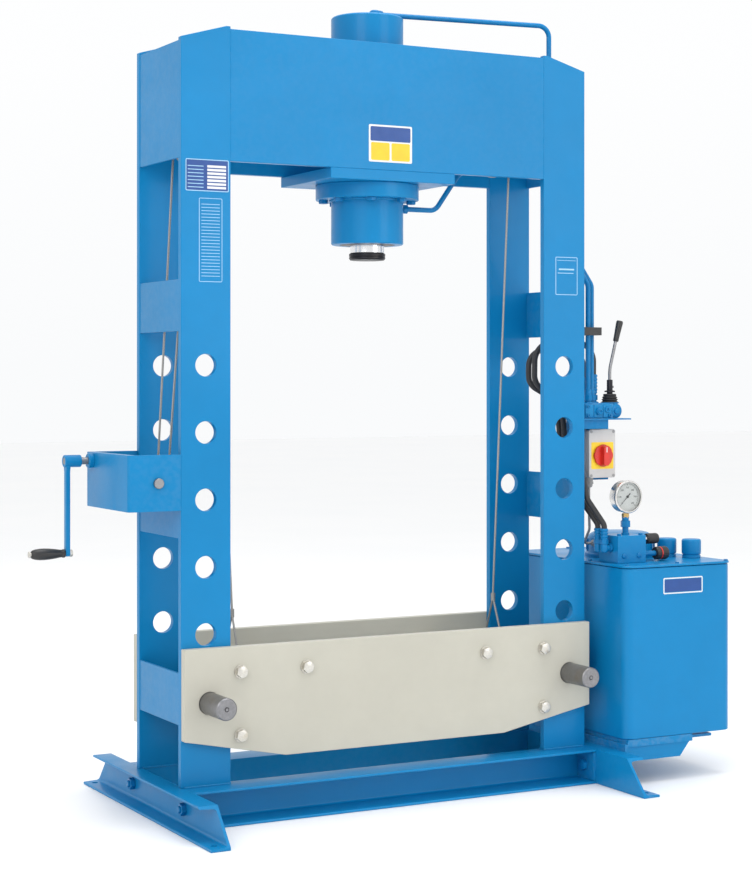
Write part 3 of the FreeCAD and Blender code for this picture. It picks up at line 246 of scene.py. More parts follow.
BLUE = (0.002, 0.200, 0.455)
blue = paint("press_blue_enamel", BLUE)
deep_blue = paint("pipe_blue_enamel", (0.002, 0.170, 0.410), rough=0.3, wear=0.2, peel=0.00012)
bolster_paint = paint("bolster_stone_enamel", (0.500, 0.485, 0.415), rough=0.45, vary=0.05,
    wear=0.5, coat=0.08)
pin_steel = metal("pin_turned_steel", (0.25, 0.25, 0.26), 0.36, (1, 14, 1), 120.0,
    stain=(0.25, 0.22, 0.2))
chrome = metal("rod_hard_chrome", (0.82, 0.82, 0.83), 0.12, (1, 1, 10), 160.0, vary=0.04,
    scratch=0.00002)
black_oxide = metal("black_oxide_steel", (0.035, 0.035, 0.04), 0.38, (1, 1, 6), 220.0, vary=0.3,
    stain=(0.08, 0.07, 0.06))
plated = metal("zinc_plated_steel", (0.62, 0.60, 0.55), 0.34, (1, 1, 1), 240.0,
    stain=(0.48, 0.42, 0.27))
grey_steel = metal("machined_grey_steel", (0.30, 0.30, 0.31), 0.38, (8, 1, 1), 150.0,
    stain=(0.16, 0.14, 0.12))
brass = metal("turned_brass", (0.72, 0.50, 0.20), 0.28, (1, 1, 8), 200.0, stain=(0.40, 0.25, 0.09))
bronze = metal("worm_wheel_bronze", (0.62, 0.36, 0.15), 0.34, (1, 8, 1), 200.0,
    stain=(0.3, 0.17, 0.07))
stainless = metal("gauge_stainless", (0.72, 0.71, 0.69), 0.16, (1, 12, 1), 200.0, vary=0.06)
rope = wire_rope("laid_wire_rope", (0.42, 0.41, 0.39))
rubber = hose_rubber("hydraulic_hose_rubber", (0.020, 0.020, 0.022))
black = moulded("black_moulding", (0.016, 0.016, 0.017), 0.42, coat=0.1)
boot_rubber = moulded("boot_rubber", (0.012, 0.012, 0.013), 0.62, 500.0, 0.0003)
grey_plastic = moulded("switch_grey_moulding", (0.56, 0.55, 0.54), 0.42, 900.0, 0.00006, vary=0.04)
cable_grey = moulded("cable_grey_jacket", (0.30, 0.30, 0.30), 0.5, 500.0, 0.0001)
yellow = moulded("switch_yellow_moulding", (0.90, 0.62, 0.02), 0.35, 900.0, 0.00006, vary=0.05,
    coat=0.2)
red = moulded("switch_red_moulding", (0.62, 0.022, 0.012), 0.32, 900.0, 0.00006, vary=0.08,
    coat=0.3)
dial_white = moulded("dial_white_enamel", (0.83, 0.83, 0.81), 0.4, 1200.0, 0.00002, vary=0.02)
label_white = moulded("label_white_film", (0.70, 0.71, 0.72), 0.38, 900.0, 0.00003, vary=0.03)
label_blue = moulded("label_blue_film", (0.010, 0.060, 0.250), 0.36, 900.0, 0.00003, vary=0.06)
label_line = moulded("label_pale_line", (0.34, 0.58, 0.78), 0.4, 900.0, 0.00003, vary=0.05)
label_yellow = moulded("label_yellow_film", (0.78, 0.50, 0.015), 0.38, 900.0, 0.00003, vary=0.05)
glass = clear_glass("gauge_window_glass")


# ------------------------------------------------------------------ pieces
def settle(obj, material, body="frame", slot=None, stands_for=()):
    if material is not None:
        obj.data.materials.clear()
        obj.data.materials.append(material)
    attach(obj, body)
    if stands_for:
        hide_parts(*stands_for)
    return obj


def from_bmesh(name, bm, bevel=None, segments=2, angle=32.0, tidy=True):
    """A smooth-shaded object with its sharp edges rounded by a small bevel."""
    if tidy:
        bmesh.ops.remove_doubles(bm, verts=bm.verts, dist=1e-6)
        bmesh.ops.recalc_face_normals(bm, faces=bm.faces)
    mesh = bpy.data.meshes.new(name)
    bm.to_mesh(mesh)
    bm.free()
    mesh.polygons.foreach_set("use_smooth", [True] * len(mesh.polygons))
    obj = bpy.data.objects.new(name, mesh)
    bpy.context.scene.collection.objects.link(obj)
    if bevel:
        round_edges = obj.modifiers.new("round_edges", "BEVEL")
        round_edges.width = bevel
        round_edges.segments = segments
        round_edges.limit_method = "ANGLE"
        round_edges.angle_limit = math.radians(angle)
        round_edges.harden_normals = True
    else:
        mesh.set_sharp_from_angle(angle=math.radians(angle))
    return obj


def keep(name, bm, edge, *facts):
    """The finished mesh as a piece; the edge gives its bevel, segments and angle."""
    return settle(from_bmesh(name, bm, *edge, tidy=False), *facts)


def circle(centre, radius, count=48):
    step = 2 * math.pi / count
    return [(centre[0] + radius * math.cos(step * i),
        centre[1] + radius * math.sin(step * i)) for i in range(count)]


def rectangle(low_a, low_b, high_a, high_b):
    return [(low_a, low_b), (high_a, low_b), (high_a, high_b), (low_a, high_b)]


def plain_rod(radius, length):
    """Profile of a solid rod for a lathe."""
    return [(0, 0), (radius, 0), (radius, length), (0, length)]


def rounded_outline(points, radii, steps=6):
    """The polygon with its corners turned into arcs; one radius for all or one each."""
    if not isinstance(radii, (list, tuple)):
        radii = [radii] * len(points)
    result = []
    for index, point in enumerate(points):
        radius = radii[index]
        if not radius:
            result.append(tuple(point))
            continue
        corner = Vector(point)
        before = (Vector(points[index - 1]) - corner).normalized()
        after = (Vector(points[(index + 1) % len(points)]) - corner).normalized()
        half = before.angle(after) / 2
        centre = corner + (before + after).normalized() * (radius / math.sin(half))
        start = corner + before * (radius / math.tan(half)) - centre
        end = corner + after * (radius / math.tan(half)) - centre
        turn = start.angle_signed(end)
        for step in range(steps + 1):
            spot = centre + Matrix.Rotation(-turn * step / steps, 2) @ start
            result.append((spot.x, spot.y))
    return result


def inside(point, loop):
    crossings = 0
    for (ax, ay), (bx, by) in zip(loop, loop[1:] + loop[:1]):
        if (ay > point.y) != (by > point.y):
            crossings += point.x < ax + (point.y - ay) * (bx - ax) / (by - ay)
    return crossings % 2 == 1


def divided(loop, step):
    """The loop with points added so that no edge is longer than the step."""
    result = []
    for a, b in zip(loop, loop[1:] + loop[:1]):
        start, end = Vector(a), Vector(b)
        parts = max(1, math.ceil((end - start).length / step))
        result += [tuple(start.lerp(end, i / parts)) for i in range(parts)]
    return result


def filling(outline, holes):
    """Evenly spread points on a plate, clear of its edges, that keep its triangles well shaped."""
    low_a, high_a = min(p[0] for p in outline), max(p[0] for p in outline)
    low_b, high_b = min(p[1] for p in outline), max(p[1] for p in outline)
    step = max(0.02, min(high_a - low_a, high_b - low_b) / 9)
    if min(high_a - low_a, high_b - low_b) < step * 3:
        return outline, []
    outline = divided(outline, step)
    found = []
    for hole in holes:
        centre = sum((Vector(point) for point in hole), Vector((0, 0))) / len(hole)
        for i in range(0, len(hole), 2):
            found.append(centre + (Vector(hole[i]) - centre) * 1.28)
    for i in range(1, math.ceil((high_a - low_a) / step)):
        for j in range(1, math.ceil((high_b - low_b) / step)):
            spot = Vector((low_a + i * step, low_b + j * step))
            if not inside(spot, outline) or any(inside(spot, hole) for hole in holes):
                continue
            near_hole = any(not clear_of(spot, hole, step * 0.75) for hole in holes)
            if clear_of(spot, outline, step * 0.4) and not near_hole:
                found.append(spot)
    return outline, found


def clear_of(spot, loop, gap):
    for a, b in zip(loop, loop[1:] + loop[:1]):
        start, end = Vector(a), Vector(b)
        share = (spot - start).dot(end - start) / max((end - start).length_squared, 1e-12)
        if (start.lerp(end, min(1, max(0, share))) - spot).length < gap:
            return False
    return True


def add_prism(bm, outline, holes, low, high, axis):
    """A plate of any outline with holes, between two levels along an axis."""
    part = bmesh.new()
    if holes:
        outline, spread = filling(outline, holes)
        points, edges = [], []
        for loop in [outline] + list(holes):
            first = len(points)
            points += [Vector(point) for point in loop]
            edges += [(first + i, first + (i + 1) % len(loop)) for i in range(len(loop))]
        points += spread
        spots, _, faces, _, _, _ = delaunay_2d_cdt(points, edges, [], 1, 1e-7)
        ring = [part.verts.new((spot.x, spot.y, low)) for spot in spots]
        for face in faces:
            middle = sum((spots[i] for i in face), Vector((0, 0))) / len(face)
            if not any(inside(middle, hole) for hole in holes):
                part.faces.new([ring[i] for i in face])
    else:
        part.faces.new([part.verts.new((a, b, low)) for a, b in outline])
    grown = bmesh.ops.extrude_face_region(part, geom=part.faces[:])
    moved = [item for item in grown["geom"] if isinstance(item, bmesh.types.BMVert)]
    bmesh.ops.translate(part, verts=moved, vec=(0, 0, high - low))
    bmesh.ops.transform(part, matrix=AXES[axis].to_4x4(), verts=part.verts)
    bmesh.ops.recalc_face_normals(part, faces=part.faces)
    join(bm, part)


def join(bm, part):
    mesh = bpy.data.meshes.new("part")
    part.to_mesh(mesh)
    part.free()
    bm.from_mesh(mesh)
    bpy.data.meshes.remove(mesh)


def prism(name, outline, low, high, axis, holes=(), bevel=0.0012, segments=2):
    bm = bmesh.new()
    add_prism(bm, outline, holes, low, high, axis)
    return from_bmesh(name, bm, bevel, segments)


def add_slab(bm, low, high):
    made = bmesh.ops.create_cube(bm, size=1.0)
    low, high = Vector(low), Vector(high)
    for vert in made["verts"]:
        vert.co = Vector(low[i] + (vert.co[i] + 0.5) * (high[i] - low[i]) for i in range(3))


def slabs(name, boxes, bevel=0.0012, segments=2):
    bm = bmesh.new()
    for low, high in boxes:
        add_slab(bm, low, high)
    return from_bmesh(name, bm, bevel, segments, tidy=False)


def spin_matrix(axis):
    direction = {"x": (1, 0, 0), "y": (0, 1, 0), "z": (0, 0, 1), "-x": (-1, 0, 0), "-y": (0, -1, 0),
        "-z": (0, 0, -1)}
    way = Vector(direction[axis]) if isinstance(axis, str) else Vector(axis)
    return way.to_track_quat("Z", "Y").to_matrix().to_4x4()


def put(part, axis, at):
    """Turn a part built about Z to an axis and move it to its place."""
    matrix = Matrix.Translation(Vector(at)) @ spin_matrix(axis)
    bmesh.ops.transform(part, matrix=matrix, verts=part.verts)


def bridge(part, first, second):
    """Faces between two rings; a ring of one point makes a fan."""
    count = max(len(first), len(second))
    if count == 1:
        return
    for i in range(count):
        j = (i + 1) % count
        if len(first) == 1:
            part.faces.new((first[0], second[i], second[j]))
        elif len(second) == 1:
            part.faces.new((first[i], first[j], second[0]))
        else:
            part.faces.new((first[i], first[j], second[j], second[i]))


def add_lathe(bm, profile, axis, at, count=64):
    """(radius, height) points turned about an axis; a closed profile makes a ring."""
    part = bmesh.new()
    rings = []
    for radius, height in profile:
        if radius < 1e-7:
            rings.append([part.verts.new((0, 0, height))])
        else:
            rings.append([part.verts.new((x, y, height)) for x, y in circle((0, 0), radius, count)])
    pairs = list(zip(rings, rings[1:]))
    if len(rings[0]) > 1 and len(rings[-1]) > 1:
        pairs.append((rings[-1], rings[0]))
    for first, second in pairs:
        bridge(part, first, second)
    bmesh.ops.recalc_face_normals(part, faces=part.faces)
    put(part, axis, at)
    join(bm, part)


def lathe(name, profile, axis, at, bevel=0.0008, segments=2, count=64):
    bm = bmesh.new()
    add_lathe(bm, profile, axis, at, count)
    return from_bmesh(name, bm, bevel, segments, tidy=False)


def add_hex(bm, radius, height, axis, at, turn=0.0):
    """A chamfered hexagon, as on a nut or bolt head: its corners are cut by a cone."""
    part = bmesh.new()
    flat = radius * math.cos(math.pi / 6)
    drop = (radius - flat) * 0.6
    count = 36
    rings = []
    for level, limit in ((0.0, None), (height - drop, None), (height, flat * 0.97)):
        ring = []
        for i in range(count):
            angle = 2 * math.pi * i / count
            local = (angle % (math.pi / 3)) - math.pi / 6
            reach = flat / math.cos(local)
            z = level
            if limit is None and level > 0:
                z = height - (reach - flat) * 0.6 - drop * 0.15
            if limit is not None:
                reach = min(reach, limit)
            ring.append(part.verts.new((reach * math.cos(angle + turn),
                reach * math.sin(angle + turn), z)))
        rings.append(ring)
    for first, second in zip(rings, rings[1:]):
        bridge(part, first, second)
    part.faces.new(rings[0])
    part.faces.new(rings[-1])
    bmesh.ops.recalc_face_normals(part, faces=part.faces)
    put(part, axis, at)
    join(bm, part)


def sweep(bm, points, radius, count=12, ripple=0.0, pitch=0.006):
    """A round tube along points, with closed ends; a ripple gives the look of a weld."""
    part = bmesh.new()
    points = [Vector(point) for point in points]
    rings = []
    travelled = 0.0
    normal = None
    for index, point in enumerate(points):
        ahead = points[min(index + 1, len(points) - 1)] - points[max(index - 1, 0)]
        ahead.normalize()
        if normal is None:
            normal = ahead.orthogonal().normalized()
        normal = (normal - ahead * normal.dot(ahead)).normalized()
        side = ahead.cross(normal)
        if index:
            travelled += (point - points[index - 1]).length
        size = radius * (1 + ripple * math.sin(2 * math.pi * travelled / pitch))
        step = 2 * math.pi / count
        rings.append([
            part.verts.new(point + (normal * math.cos(step * i) + side * math.sin(step * i)) * size)
            for i in range(count)
        ])
    for first, second in zip(rings, rings[1:]):
        bridge(part, first, second)
    part.faces.new(rings[0])
    part.faces.new(rings[-1])
    bmesh.ops.recalc_face_normals(part, faces=part.faces)
    join(bm, part)


def weld_line(bm, start, end, radius=0.0022):
    start, end = Vector(start), Vector(end)
    count = max(2, int((end - start).length / 0.0022))
    points = [start.lerp(end, i / count) for i in range(count + 1)]
    sweep(bm, points, radius, 8, 0.12, 0.0075)


def weld_ring(bm, centre, radius, thick=0.003):
    count = int(2 * math.pi * radius / 0.0022)
    ring = circle((0, 0), radius, count)
    points = [Vector((centre[0] + x, centre[1] + y, centre[2])) for x, y in ring]
    sweep(bm, points + points[:1], thick, 8, 0.12, 0.0075)


def dress(material, *names):
    """A CAD node keeps its shape and gets a better finish."""
    for name in names:
        NODES[name].data.materials.clear()
        NODES[name].data.materials.append(material)


# ------------------------------------------------------------------ columns and beam
PIN_X = 0.5775
PIN_Z = 0.326
PITCH = 0.1815
HOLE = 0.0305
M20_HEX, M20_SHANK, M20_WASHER = 0.0172, 0.0098, 0.019
M16_HEX = 0.0136
BOLT_SPOTS = [(side * x, z) for side in (-1, 1) for x,
    z in ((0.288, 0.405), (0.487, 0.405), (0.487, 0.233))]


def build_bars():
    for side, side_name in ((-1, "left"), (1, "right")):
        for end in ("front", "rear"):
            node = "%s_%s_bar" % (side_name, end)
            low, high = LOW[node], HIGH[node]
            outer, inner = (low.x, high.x) if side < 0 else (high.x, low.x)
            outline = [
                (outer, low.z),
                (inner, low.z),
                (inner, high.z),
                (inner + side * 0.012, high.z),
                (outer, high.z - 0.038),
            ]
            holes = [circle((side * PIN_X, PIN_Z + PITCH * row), HOLE) for row in range(6)]
            bar = prism(node + "_plate", outline, low.y, high.y, "y", holes, 0.0016, 3)
            settle(bar, blue, "frame", "press_blue", [node])


def build_beam():
    low, high = LOW["beam_cheeks"], HIGH["beam_cheeks"]
    thick = 0.020
    cheeks = slabs("beam_cheek_plates", [
        (low, (high.x, low.y + thick, high.z)),
        ((low.x, high.y - thick, low.z), high),
    ], 0.0016, 3)
    settle(cheeks, blue, "frame", "press_blue", ["beam_cheeks"])
    low, high = LOW["side_plates"], HIGH["side_plates"]
    wall = 0.008
    boxes = []
    welds = bmesh.new()
    for bottom, top in ((0.265, 0.405), (0.768, 0.908), (1.325, 1.465), (1.792, 2.108)):
        boxes.append(((low.x, low.y, bottom), (low.x + wall, high.y, top)))
        boxes.append(((high.x - wall, low.y, bottom), (high.x, high.y, top)))
        for x in (low.x + 0.0012, high.x - 0.0012):
            for y in (low.y, high.y):
                weld_line(welds, (x, y, bottom), (x, y, top), 0.0028)
    for x in (LOW["beam_cheeks"].x, HIGH["beam_cheeks"].x):
        for y in (LOW["beam_cheeks"].y, HIGH["beam_cheeks"].y):
            inward = 0.0012 if y < 0 else -0.0012
            bottom, top = LOW["beam_cheeks"].z, HIGH["beam_cheeks"].z
            weld_line(welds, (x, y + inward, bottom), (x, y + inward, top), 0.0020)
    settle(slabs("column_side_plates", boxes, 0.0012), blue, "frame", "press_blue", ["side_plates"])
    keep("frame_weld_beads", welds, (), blue, "frame", "press_blue")


# ------------------------------------------------------------------ base
def carve(obj, cutters):
    """Cut the joined cutters out of an object and leave a plain mesh."""
    bm = bmesh.new()
    for cutter in cutters:
        cutter(bm)
    tool = from_bmesh("tool", bm, tidy=False)
    step = obj.modifiers.new("carve", "BOOLEAN")
    step.operation = "DIFFERENCE"
    step.solver = "EXACT"
    step.object = tool
    with_bevel = [m for m in obj.modifiers if m.type == "BEVEL"]
    for modifier in with_bevel:
        modifier.show_viewport = False
    view = bpy.context.evaluated_depsgraph_get()
    mesh = bpy.data.meshes.new_from_object(obj.evaluated_get(view))
    obj.modifiers.remove(step)
    for modifier in with_bevel:
        modifier.show_viewport = True
    obj.data = mesh
    mesh.polygons.foreach_set("use_smooth", [True] * len(mesh.polygons))
    bpy.data.objects.remove(tool)
    return obj


def channel_outline(web, tip, low, high, wall):
    """A rolled channel section: (across, up) points with its inner corners rounded."""
    way = 1 if tip > web else -1
    points = [
        (web, low), (tip, low), (tip, low + wall * 0.85), (web + way * wall, low + wall * 1.1),
        (web + way * wall, high - wall * 1.1), (tip, high - wall * 0.85), (tip, high), (web, high),
    ]
    return rounded_outline(points, [0.0008, 0.0008, 0.003, 0.008, 0.008, 0.003, 0.0008, 0.0008], 5)


def build_base():
    wall = 0.008
    for side, node in ((-1, "left_foot"), (1, "right_foot")):
        low, high = LOW[node], HIGH[node]
        web, tip = (high.x, low.x) if side < 0 else (low.x, high.x)
        outline = channel_outline(web, tip, 0.0, high.z, wall)
        foot = prism(node + "_channel", outline, low.y, high.y, "y", bevel=0.001)

        def ends(bm, low=low, high=high):
            for end in (-1, 1):
                reach = high.y
                points = [
                    (end * reach, wall), (end * (reach + 0.02), wall),
                    (end * (reach + 0.02), 0.11), (end * (reach - 0.084 - 0.009), 0.11),
                ]
                add_prism(bm, points, (), low.x - 0.01, high.x + 0.01, "x")
                middle = (web + tip) / 2 + side * 0.004
                add_prism(bm, circle((middle, end * (reach - 0.034)), 0.009, 32), (), -0.01, 0.02,
                    "z")

        carve(foot, [ends])
        settle(foot, blue, "frame", "press_blue", [node])
    low, high = LOW["base_rails"], HIGH["base_rails"]
    bm = bmesh.new()
    for facing in (-1, 1):
        tip = low.y if facing < 0 else high.y
        web = tip - facing * 0.095
        outline = channel_outline(web, tip, 0.0, high.z, wall)
        add_prism(bm, outline, (), low.x, high.x, "x")
        for x in (low.x, high.x - wall):
            across = sorted((web + facing * wall, tip - facing * 0.001))
            add_slab(bm, (x + 0.0002, across[0], wall),
                (x + wall - 0.0002, across[1], high.z - wall))
    rails = from_bmesh("base_rail_channels", bm, 0.001, tidy=False)
    settle(rails, blue, "frame", "press_blue", ["base_rails"])
    welds = bmesh.new()
    for side in (-1, 1):
        for y0, y1 in ((-0.163, -0.143), (0.143, 0.163)):
            inner = side * 0.505
            for y, lift in ((y0, -0.002), (y1, 0.002)):
                weld_line(welds, (inner, y + lift, 0.101), (side * 0.640, y + lift, 0.101), 0.003)
    keep("base_weld_beads", welds, (), blue, "frame", "press_blue")


# ------------------------------------------------------------------ bolster
def build_bolster():
    low, high = LOW["bolster_plates"], HIGH["bolster_plates"]
    thick = 0.025
    outline = [
        (low.x, high.z), (low.x, high.z - 0.246), (low.x + 0.300, low.z),
        (high.x - 0.300, low.z), (high.x, high.z - 0.246), (high.x, high.z),
    ]
    holes = [circle((side * PIN_X, PIN_Z), HOLE) for side in (-1, 1)]
    holes += [circle(spot, 0.0105, 32) for spot in BOLT_SPOTS]
    bm = bmesh.new()
    add_prism(bm, outline, holes, low.y, low.y + thick, "y")
    add_prism(bm, outline, holes, high.y - thick, high.y, "y")
    plates = from_bmesh("bolster_side_plates", bm, 0.002, 3, tidy=False)
    settle(plates, bolster_paint, "frame", "bolster_paint", ["bolster_plates"])
    bm = bmesh.new()
    washer = 0.003
    front, rear = low.y, high.y
    for x, z in BOLT_SPOTS:
        add_lathe(bm, plain_rod(M20_WASHER, washer), "-y", (x, front, z), 40)
        add_hex(bm, M20_HEX, 0.0125, "-y", (x, front - washer, z), 0.3)
        add_lathe(bm, plain_rod(M20_WASHER, washer), "y", (x, rear, z), 40)
        add_hex(bm, M20_HEX, 0.015, "y", (x, rear + washer, z), 0.6)
        add_lathe(bm, [(0.0, 0), (M20_SHANK, 0), (M20_SHANK, 0.017), (0.0082, 0.019), (0, 0.019)],
            "y", (x, rear + washer, z), 32)
        add_lathe(bm, plain_rod(M20_SHANK, rear - front), "y", (x, front, z), 24)
    bolts = from_bmesh("bolster_hex_bolts", bm, 0.0004, 1, 40.0, tidy=False)
    settle(bolts, plated, "frame", "plated_bolts", ["bolster_bolts"])
    dress(bolster_paint, "bolster_spacers")
    for name in ("left_pin", "right_pin"):
        low, high = LOW[name], HIGH[name]
        radius = (high.x - low.x) / 2
        long = high.y - low.y
        profile = [
            (0, 0), (0.004, 0), (0.005, 0.003), (0.007, 0.0005), (radius - 0.003, 0),
            (radius, 0.003),
            (radius, long - 0.003), (radius - 0.003, long), (0.006, long), (0.005, long - 0.002),
            (0, long - 0.003),
        ]
        pin = lathe(name + "_bar", profile, "y", ((low.x + high.x) / 2, low.y, PIN_Z), 0.0005, 2,
            72)
        settle(pin, pin_steel, name, "pin_steel", [name])


# ------------------------------------------------------------------ cylinder
def build_cylinder():
    low, high = LOW["cylinder_barrel"], HIGH["cylinder_barrel"]
    radius = 0.105
    barrel = lathe("cylinder_tube", [
        (0.0805, low.z), (radius - 0.003, low.z), (radius, low.z + 0.003), (radius, high.z - 0.004),
        (radius - 0.004, high.z), (0, high.z), (0, high.z - 0.060), (0.0805, high.z - 0.060),
    ], "z", (0, 0, 0), 0.0010, 2, 128)
    settle(barrel, blue, "frame", "press_blue", ["cylinder_barrel"])
    plate_low, plate_high = LOW["cylinder_plate"], HIGH["cylinder_plate"]
    angles = [math.radians(22.5 + 45 * i) for i in range(8)]
    bolts = [(0.128 * math.cos(a), 0.128 * math.sin(a)) for a in angles]
    corners = rectangle(plate_low.x, plate_low.y, plate_high.x, plate_high.y)
    holes = [circle((0, 0), 0.1053, 96)] + [circle(spot, 0.0085, 24) for spot in bolts]
    plate = prism("cylinder_seat_plate", corners, plate_low.z, plate_high.z, "z", holes, 0.0016, 3)
    settle(plate, blue, "frame", "press_blue", ["cylinder_plate"])
    flange_low, flange_high = LOW["cylinder_flange"], HIGH["cylinder_flange"]
    flange = prism("cylinder_flange_ring", circle((0, 0), 0.150, 128), flange_low.z, flange_high.z,
        "z", holes, 0.0022, 3)
    settle(flange, blue, "frame", "press_blue", ["cylinder_flange"])
    bm = bmesh.new()
    weld_ring(bm, (0, 0, flange_low.z - 0.0012), 0.1068, 0.0038)
    keep("cylinder_weld_ring", bm, (), blue, "frame", "press_blue")
    bm = bmesh.new()
    for index, (x, y) in enumerate(bolts):
        turn = 0.2 + index * 0.37
        add_hex(bm, M16_HEX, 0.010, "-z", (x, y, flange_low.z), turn)
        add_hex(bm, M16_HEX, 0.012, "z", (x, y, plate_high.z), turn)
        add_lathe(bm, [(0, 0), (0.0078, 0), (0.0078, 0.088), (0.0064, 0.089), (0, 0.089)], "z",
            (x, y, flange_low.z), 24)
    rail_y = 0.1875
    for side in (-1, 1):
        for facing in (-1, 1):
            way = "x" if side > 0 else "-x"
            back = "-x" if side > 0 else "x"
            inner = side * 0.634
            add_hex(bm, M20_HEX, 0.0125, back, (inner, facing * rail_y, 0.05), 0.4)
            add_hex(bm, M20_HEX, 0.014, way, (inner + side * 0.016, facing * rail_y, 0.05), 0.8)
            add_lathe(bm, [(0, 0), (M20_SHANK, 0), (M20_SHANK, 0.034), (0.008, 0.036), (0, 0.036)],
                way, (inner, facing * rail_y, 0.05), 24)
    keep("frame_hex_bolts", bm, (0.0004, 1, 40.0), deep_blue, "frame", "plated_bolts",
        ["frame_bolts"])
    dress(black_oxide, "rod_gland", "ram_piston")
    low, high = LOW["ram_rod"], HIGH["ram_rod"]
    tip_low, tip_high = LOW["ram_tip"], HIGH["ram_tip"]
    piston_low = LOW["ram_piston"].z
    rod = lathe("ram_chrome_rod", [
        (0, low.z), (0.025, low.z), (0.025, tip_high.z), (0.048, tip_high.z),
        (0.050, tip_high.z + 0.002),
        (0.050, piston_low), (0.030, piston_low), (0.030, high.z), (0, high.z),
    ], "z", (0, 0, 0), 0.0005, 2, 128)
    settle(rod, chrome, "ram", "bright_steel", ["ram_rod"])
    tip = lathe("ram_pressing_tip", [
        (0, tip_low.z), (0.049, tip_low.z), (0.0528, tip_low.z + 0.004),
        (0.0528, tip_low.z + 0.008),
        (0.0518, tip_low.z + 0.009), (0.0518, tip_low.z + 0.0105), (0.0528, tip_low.z + 0.0115),
        (0.0528, tip_high.z - 0.001), (0.0518, tip_high.z), (0.0254, tip_high.z), (0.0254, low.z),
        (0, low.z),
    ], "z", (0, 0, 0), 0.0004, 2, 128)
    settle(tip, black_oxide, "ram", "dark_steel", ["ram_tip"])


# ------------------------------------------------------------------ winch, pulleys and ropes
SHEAVE_Z = 1.850
CROSS_ROPE_Y = -0.127
LEFT_SHEAVE_X, RIGHT_SHEAVE_X = -0.548, 0.354


def helix(centre, radius, start, end, turns, phase=0.0, step=24):
    """Points on a helix about an axis through a centre that runs along Y."""
    count = int(turns * step)
    points = []
    for i in range(count + 1):
        angle = phase + 2 * math.pi * turns * i / count
        y = start + (end - start) * i / count
        points.append((centre[0] + radius * math.cos(angle), y,
            centre[1] + radius * math.sin(angle)))
    return points


